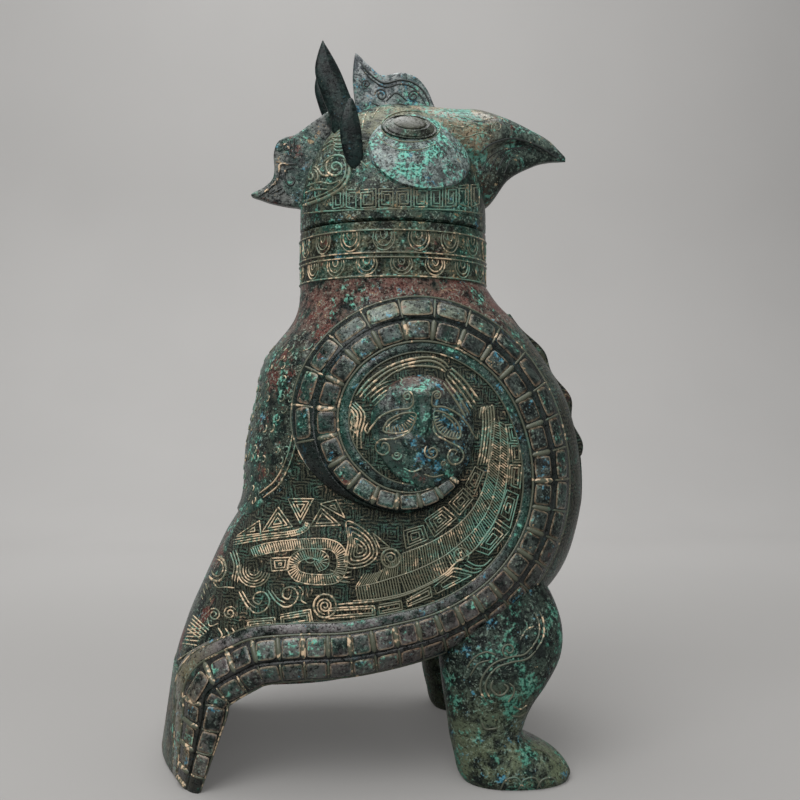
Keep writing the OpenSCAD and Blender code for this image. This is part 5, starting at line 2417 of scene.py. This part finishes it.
@dataclass
class CapeOrnament:
    """Small worn feathers on the back, and the edge of the cape they are on."""

    vessel: Vessel
    row_pitch: float = 6.4
    pitch: float = 0.088
    bare: float = 0.50
    seed: int = 11

    def feathers(self) -> Threads:
        """Scatters broken rows of small curled feathers over the cape.

        Returns:
            The lines.
        """
        rng = np.random.default_rng(self.seed)
        threads = Threads()
        for row, z in enumerate(np.arange(166.0, 268.0, self.row_pitch)):
            for k in range(-13, 14):
                angle = math.pi + (k + 0.5 * (row % 2)) * self.pitch
                if rng.random() < self.bare:
                    continue
                turn = rng.uniform(-0.5, 0.5)
                t = np.linspace(-2.4 + rng.uniform(-0.3, 0.6), 1.2 + rng.uniform(-0.4, 0.8), 11)
                size = rng.uniform(1.7, 2.7)
                across = size * np.cos(t + turn) * (1.0 + 0.15 * t)
                rise = size * 0.9 * np.sin(t + turn)
                here = self.vessel.shell(np.array(z), np.array(angle), 0.0)
                far = max(30.0, float(np.hypot(here[0] - NECK_X, here[1])))
                zs = z + rise + rng.uniform(-1.0, 1.0)
                flat = self.vessel.shell(zs, angle + across / far, 0.0)
                lift = self.vessel.cape(flat[:, 0], flat[:, 2])
                if lift.min() < 0.35 * self.vessel.cape_rise and z < 230.0:
                    continue
                line = self.vessel.shell(zs, angle + across / far, lift + 0.1)
                threads.add(line, float(rng.uniform(0.7, 1.1)))
        return threads

    def hem(self) -> Threads:
        """Follows the cape's lower edge with two lines.

        Returns:
            The lines.
        """
        threads = Threads()
        for drop in (3.2, 5.6):
            knots = np.array([(-47.0, 232.0), (-49.0, 205.0), (-53.0, 188.0), (-60.0, 174.0),
                              (-70.0, 165.0)])
            x, z = catmull(knots + np.array([-drop, drop]), 1.0).T
            threads.add(xyz(x, -self.vessel.side_y(x, z, self.vessel.cape_rise + 0.1), z), 1.0)
        return threads


# The studio


@dataclass
class Studio:
    """Pale paper sweep, soft light and the camera: lamps in watts, the paper in millimetres."""

    view: Viewpoint = field(default_factory=Viewpoint)
    key: float = 25.0
    top: float = 19.0
    fill: float = 3.5
    front: float = 5.0
    wall: float = 13.0
    world: float = 0.16
    world_tint: Rgb = (0.98, 0.985, 1.0)
    paper_half_w: float = 3200.0
    paper_near: float = -2500.0
    paper_tall: float = 3500.0
    bend_y: float = 900.0
    bend_r: float = 700.0
    sensor: float = 36.0

    def sweep(self, shop: Workshop) -> None:
        """Builds the floor that runs up into the backdrop."""
        t = np.linspace(0.0, math.pi / 2, 24)
        back = self.bend_y + self.bend_r
        y = np.concatenate([[self.paper_near, self.bend_y], self.bend_y + self.bend_r * np.sin(t), [back]])
        z = np.concatenate([[0.0, 0.0], self.bend_r - self.bend_r * np.cos(t), [self.paper_tall]])
        x = np.array([-self.paper_half_w, self.paper_half_w])
        mesh = strip(xyz(x, y[:, None], z[:, None])).mesh("paper_sweep")
        mesh.materials.append(shop.paint(Backdrop("studio_paper")))
        paper = bpy.data.objects.new("paper_sweep", mesh)
        bpy.context.scene.collection.objects.link(paper)

    def lamp(self, name: str, place: Rgb, aim: Rgb, size: float, watts: float) -> None:
        """Hangs one soft lamp.

        Args:
            name: its name.
            place: where it hangs, in metres.
            aim: where it points, in metres.
            size: side of its square face, in metres.
            watts: its power.
        """
        data = bpy.data.lights.new(name, "AREA")
        data.size = size
        data.energy = watts
        lamp = bpy.data.objects.new(name, data)
        lamp.location = place
        lamp.rotation_euler = (Vector(aim) - Vector(place)).to_track_quat("-Z", "Y").to_euler()
        bpy.context.scene.collection.objects.link(lamp)

    def light(self) -> None:
        """Hangs the lamps and sets the soft surround."""
        self.lamp("key_softbox", (-0.70, -1.05, 1.45), (0.0, 0.0, 0.22), 1.2, self.key)
        self.lamp("top_softbox", (-0.15, 0.05, 1.6), (0.0, 0.0, 0.2), 1.6, self.top)
        self.lamp("fill_softbox", (1.2, -1.0, 0.7), (0.0, 0.0, 0.2), 1.2, self.fill)
        self.lamp("front_softbox", (0.05, -1.7, 0.95), (0.0, 0.0, 0.25), 0.7, self.front)
        self.lamp("wall_softbox", (0.0, 0.55, 1.9), (0.0, 1.6, 0.6), 1.6, self.wall)
        world = bpy.data.worlds.new("studio_air")
        world.use_nodes = True
        air = world.node_tree.nodes["Background"]
        air.inputs["Color"].default_value = (*self.world_tint, 1.0)
        air.inputs["Strength"].default_value = self.world
        bpy.context.scene.world = world

    def camera(self) -> None:
        """Sets the camera at the viewing point."""
        view = self.view
        data = bpy.data.cameras.new("camera")
        data.sensor_width = self.sensor
        data.lens = self.sensor * view.focal / view.picture
        data.shift_y = (view.horizon - view.picture / 2) / view.picture
        data.clip_start = 0.05
        camera = bpy.data.objects.new("camera", data)
        camera.location = view.eye * MM
        camera.rotation_euler = (math.pi / 2, 0.0, -math.radians(view.turn))
        bpy.context.scene.collection.objects.link(camera)
        bpy.context.scene.camera = camera
        bpy.context.scene.view_settings.view_transform = "Standard"


class Finishes:
    """The finishes of this vessel."""

    BELLY = Patina(
        "belly_patina", ground_two=(0.040, 0.050, 0.038), malachite=0.30, azurite=0.20, cuprite=0.36,
        ochre=0.14, zones=(Zone(2, 0.250, 0.295, (0.160, 0.078, 0.064), 0.85),), fret=0.016, fret_axis=1,
        fret_from=(0.080, 0.096), fleck=0.35, seed=1.0,
    )
    NECK = Patina(
        "neck_patina", ground=(0.008, 0.010, 0.006), ground_two=(0.075, 0.078, 0.050), malachite=0.24,
        azurite=0.24, cuprite=0.26, ochre=0.22, fleck=0.3, seed=21.0,
    )
    FIELD = Patina(
        "wing_field_patina", ground=(0.004, 0.006, 0.005), ground_two=(0.014, 0.022, 0.018),
        malachite=0.16, malachite_dark=(0.011, 0.048, 0.036), azurite=0.16, cuprite=0.22, ochre=0.05,
        zones=(Zone(0, 0.0, -0.07, (0.030, 0.022, 0.013), 0.8),), fret=0.0115, gloss=0.12, roughness=0.50,
        seed=31.0,
    )
    BAND = Patina(
        "snake_band_patina", ground_two=(0.028, 0.048, 0.042), malachite=0.27, azurite=0.24, cuprite=0.12,
        ochre=0.08,
        zones=(
            # Lilac-grey on the lower run is painted sheen on the ring; the olive tint at the rear is
            # patina.
            Zone(2, 0.150, 0.095, (0.200, 0.180, 0.182), 0.8),
            Zone(0, -0.090, -0.120, (0.090, 0.080, 0.040), 0.9),
        ),
        shaded=True, gloss=0.8, roughness=0.34, seed=41.0,
    )
    PLATE = Patina(
        "snake_plate_patina", ground_two=(0.038, 0.050, 0.044), malachite=0.27, azurite=0.22,
        cuprite=0.24, ochre=0.12, rim_share=1.2,
        zones=(
            # Paler plates at the top of the coil: pale olive patina and painted top light.
            Zone(2, 0.268, 0.284, (0.165, 0.190, 0.140), 0.7),
            # Lilac-pink on the lower run is painted sheen on the plates.
            Zone(2, 0.150, 0.095, (0.150, 0.118, 0.118), 0.45),
            Zone(0, -0.100, -0.125, (0.085, 0.076, 0.036), 0.8),
        ),
        gloss=1.0, relief=0.4, roughness=0.30, seed=47.0,
    )
    BOSS = Patina(
        "snake_head_patina", ground_two=(0.036, 0.050, 0.044), malachite=0.28, azurite=0.30, cuprite=0.20,
        # The red-brown zone on the upper snake head is partly patina and partly a painted highlight.
        ochre=0.08, zones=(Zone(2, 0.222, 0.238, (0.095, 0.050, 0.038), 0.7),), gloss=1.0, relief=0.4,
        roughness=0.28, seed=53.0,
    )
    LEG = Patina(
        "leg_patina", malachite=0.42, azurite=0.24, cuprite=0.10, ochre=0.06,
        malachite_dark=(0.014, 0.066, 0.048), malachite_pale=(0.070, 0.220, 0.160),
        zones=(Zone(2, 0.075, 0.015, (0.120, 0.145, 0.085), 0.8),), roughness=0.42, seed=61.0,
    )
    TAIL = Patina(
        "tail_patina", ground=(0.012, 0.011, 0.007), ground_two=(0.070, 0.058, 0.033), malachite=0.24,
        azurite=0.06, cuprite=0.18, ochre=0.16,
        zones=(Zone(2, 0.100, 0.135, (0.030, 0.046, 0.036), 0.9),), roughness=0.5, seed=71.0,
    )
    DOME = Patina(
        "head_patina", ground=(0.012, 0.018, 0.015), ground_two=(0.060, 0.072, 0.052), malachite=0.34,
        azurite=0.22, cuprite=0.12, ochre=0.20, malachite_pale=(0.105, 0.330, 0.260),
        zones=(Zone(2, 0.385, 0.415, (0.190, 0.190, 0.125), 0.75),), fleck=0.4, seed=81.0,
    )
    BILL = Patina(
        "bill_patina", ground=(0.018, 0.027, 0.024), ground_two=(0.074, 0.104, 0.086), malachite=0.44,
        azurite=0.10, cuprite=0.20, ochre=0.20, malachite_dark=(0.030, 0.100, 0.078),
        malachite_pale=(0.090, 0.270, 0.215), gloss=0.8, roughness=0.34, relief=0.5, seed=91.0,
        zones=(
            Zone(0, 0.086, 0.062, (0.250, 0.180, 0.105), 0.75),
            # Dark underside of the bill: painted shade.
            Zone(2, 0.394, 0.378, (0.010, 0.013, 0.011), 0.95),
        ),
    )
    CHEEK = Patina(
        "cheek_patina", ground=(0.060, 0.074, 0.070), ground_two=(0.190, 0.240, 0.230), malachite=0.48,
        azurite=0.28, cuprite=0.06, ochre=0.12, malachite_pale=(0.150, 0.460, 0.370), fleck=0.4,
        gloss=0.9, roughness=0.32, seed=101.0,
    )
    EYE = Patina(
        "eye_patina", ground=(0.016, 0.018, 0.014), ground_two=(0.060, 0.066, 0.050), malachite=0.24,
        azurite=0.06, cuprite=0.02, ochre=0.10, rim_tint=(0.050, 0.052, 0.038), rim_share=1.6, gloss=0.9,
        relief=0.3, roughness=0.28, seed=111.0,
    )
    CREST = Patina(
        "crest_patina", ground=(0.062, 0.072, 0.080), ground_two=(0.265, 0.285, 0.285), malachite=0.30,
        azurite=0.34, cuprite=0.12, ochre=0.08, roughness=0.40, seed=121.0,
    )
    NAPE = Patina(
        "nape_patina", ground=(0.022, 0.026, 0.026), ground_two=(0.130, 0.138, 0.130), malachite=0.28,
        azurite=0.20, cuprite=0.34, ochre=0.20, seed=127.0,
    )
    HORN = Patina(
        "horn_patina", ground=(0.003, 0.006, 0.006), ground_two=(0.008, 0.018, 0.017), malachite=0.08,
        azurite=0.14, cuprite=0.02, ochre=0.02, malachite_dark=(0.008, 0.022, 0.019), fleck=0.05,
        gloss=0.25, relief=0.25, roughness=0.42, seed=131.0,
    )
    RING = Patina(
        "locating_ring_patina", malachite=0.18, azurite=0.04, cuprite=0.30, ochre=0.10, seed=141.0,
    )
    CLAY = Patina(
        "clay_core_patina", ground=(0.120, 0.060, 0.035), ground_two=(0.220, 0.120, 0.070),
        malachite=0.02, azurite=0.0, cuprite=0.20, ochre=0.30, fleck=0.0, roughness=0.8, seed=151.0,
    )
    LINES = ThreadFinish("worn_thread", seed=3.0)
    GREEN_LINES = ThreadFinish("green_thread", worn=0.30, green=0.6, seed=13.0)
    BARS = ThreadFinish(
        "olive_bar", dull=(0.070, 0.078, 0.052), mint=(0.065, 0.130, 0.098), worn=0.30, green=0.4,
        seed=33.0,
    )
    DARK_LINES = ThreadFinish(
        "dark_thread", dull=(0.020, 0.026, 0.024), mint=(0.050, 0.110, 0.085), worn=0.22, green=0.35,
        seed=23.0,
    )


def laid(surface: Form, *drawings: Drawing) -> Threads:
    """Lays drawings on a surface from the viewing point."""
    threads, tree, view = Threads(), surface.tree(), Viewpoint()
    for drawing in drawings:
        threads.lay(drawing, view, tree)
    return threads


def dress_vessel(shop: Workshop, vessel: Vessel, tail: Tail) -> None:
    """Builds the belly, the neck, the breast's ridge and the tail."""
    body = Body.VESSEL
    shop.piece("belly", vessel.belly(), Finishes.BELLY, body, Slot.DARK, ["belly_shell"])
    shop.piece("neck", vessel.neck(), Finishes.NECK, body, Slot.OLIVE, ["neck_collar"], crease=75.0)
    shop.lines("neck_scale_lines", vessel.neck_scales(), Side.RIGHT, Finishes.LINES, body, Slot.OLIVE, 0.5)
    shop.piece("breast_ridge", Flange(vessel).build(), Finishes.BELLY, body, Slot.DARK, ["breast_flange"])
    shop.piece("tail_wall", tail.build(), Finishes.TAIL, body, Slot.OLIVE, ["tail"])


def dress_sides(shop: Workshop, vessel: Vessel, tail: Tail) -> None:
    """Builds the wing, snake and leg of each side."""
    wing, leg, drawn, body = Wing(vessel, tail), Leg(vessel).build(), WingOrnament(), Body.VESSEL
    cape = CapeOrnament(vessel)
    wing_field, face, plates = wing.field(), wing.boss(), wing.plates()
    ground = wing_field.with_form(face).with_form(vessel.belly())
    pieces = (
        ("wing_field", wing_field, Finishes.FIELD, Slot.DARK, "wing", 50.0),
        ("snake_band", wing.band(), Finishes.BAND, Slot.BLUE, "snake", 75.0),
        ("snake_face", face, Finishes.BOSS, Slot.BLUE, "snake_head", 75.0),
        ("leg_cast", leg, Finishes.LEG, Slot.GREEN, "leg", 50.0),
    )
    marks = laid(ground, drawn.face(), drawn.dragon(), drawn.feathers())
    lines = (
        ("snake_bars", wing.bars(), Finishes.BARS, Slot.BLUE, 0.6),
        ("wing_lines", marks, Finishes.LINES, Slot.DARK, 0.52),
        ("leg_scrolls", laid(leg, LegOrnament().scrolls()), Finishes.BARS, Slot.GREEN, 0.6),
        ("cape_hem", cape.hem(), Finishes.LINES, Slot.DARK, 0.55),
    )
    for side in Side:
        w = side.word
        for name, form, finish, slot, solid, crease in pieces:
            shop.piece(f"{w}_{name}", form.mirrored(side), finish, body, slot, [f"{w}_{solid}"], crease)
        rows = {key: values * (1.0 if key == "size" else side.flip) for key, values in plates.items()}
        shop.tiles(f"{w}_snake_plates", rows, Finishes.PLATE, body, Slot.BLUE)
        for name, threads, finish, slot, radius in lines:
            shop.lines(f"{w}_{name}", threads, side, finish, body, slot, radius)
    shop.lines("cape_feathers", cape.feathers(), Side.RIGHT, Finishes.GREEN_LINES, body, Slot.DARK, 0.5)


def dress_lid(shop: Workshop, vessel: Vessel) -> None:
    """Builds the head and what stands on it."""
    lid, drawn, body = Lid(vessel), HeadOrnament(), Body.HEAD
    dome, bill, crest, nape, cheek = lid.dome(), lid.bill(), lid.crest(), lid.nape(), lid.cheek()
    shop.piece("head_dome", dome, Finishes.DOME, body, Slot.DARK, ["head_shell"])
    shop.piece("hooked_bill", bill, Finishes.BILL, body, Slot.OLIVE, ["bill"])
    shop.piece("crest_blade", crest, Finishes.CREST, body, Slot.GREY, ["crest"])
    shop.piece("nape_hook", nape, Finishes.NAPE, body, Slot.GREY, ["nape_flange"])
    pieces = (
        ("cheek_plate", cheek, Finishes.CHEEK, Slot.GREEN, "cheek", 50.0),
        ("eye_oval", lid.eye(), Finishes.EYE, Slot.GREY, "eye", 80.0),
        ("horn_leaf", lid.horn(), Finishes.HORN, Slot.BLACK, "horn", 50.0),
        ("ear_leaf", lid.ear(), Finishes.HORN, Slot.BLACK, "ear", 50.0),
    )
    head_marks = laid(dome.with_form(cheek), drawn.side(), drawn.mask())
    lines = (
        ("head_lines", head_marks, Finishes.GREEN_LINES, Slot.DARK, 0.5),
        ("bill_lines", laid(bill, drawn.bill()), Finishes.LINES, Slot.OLIVE, 0.45),
        ("mouth_lines", laid(bill, drawn.mouth()), Finishes.DARK_LINES, Slot.OLIVE, 0.5),
        ("blade_lines", laid(crest.with_form(nape), drawn.blades()), Finishes.DARK_LINES, Slot.GREY, 0.65),
    )
    for side in Side:
        w = side.word
        for name, form, finish, slot, solid, crease in pieces:
            shop.piece(f"{w}_{name}", form.mirrored(side), finish, body, slot, [f"{w}_{solid}"], crease)
        for name, threads, finish, slot, radius in lines:
            shop.lines(f"{w}_{name}", threads, side, finish, body, slot, radius)


def dress_solids(shop: Workshop, nodes: dict[str, bpy.types.Object]) -> None:
    """Paints the solids that show as they are: the locating ring and the clay cores."""
    kept = {"lid_spigot": Finishes.RING, "right_leg_core": Finishes.CLAY, "left_leg_core": Finishes.CLAY}
    for name, finish in kept.items():
        nodes[name].data.materials.clear()
        nodes[name].data.materials.append(shop.paint(finish))
        log.info("%s keeps its solid", name)


def main() -> None:
    """Builds the vessel, lid, ornament and studio in order."""
    logging.basicConfig(level=logging.INFO, format="%(message)s")
    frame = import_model()
    shop = Workshop()
    studio = Studio()
    vessel = Vessel()
    tail = Tail(vessel)
    dress_solids(shop, frame["nodes"])
    dress_vessel(shop, vessel, tail)
    dress_sides(shop, vessel, tail)
    dress_lid(shop, vessel)
    studio.sweep(shop)
    studio.light()
    studio.camera()
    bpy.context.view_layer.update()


if __name__ == "__main__":
    main()
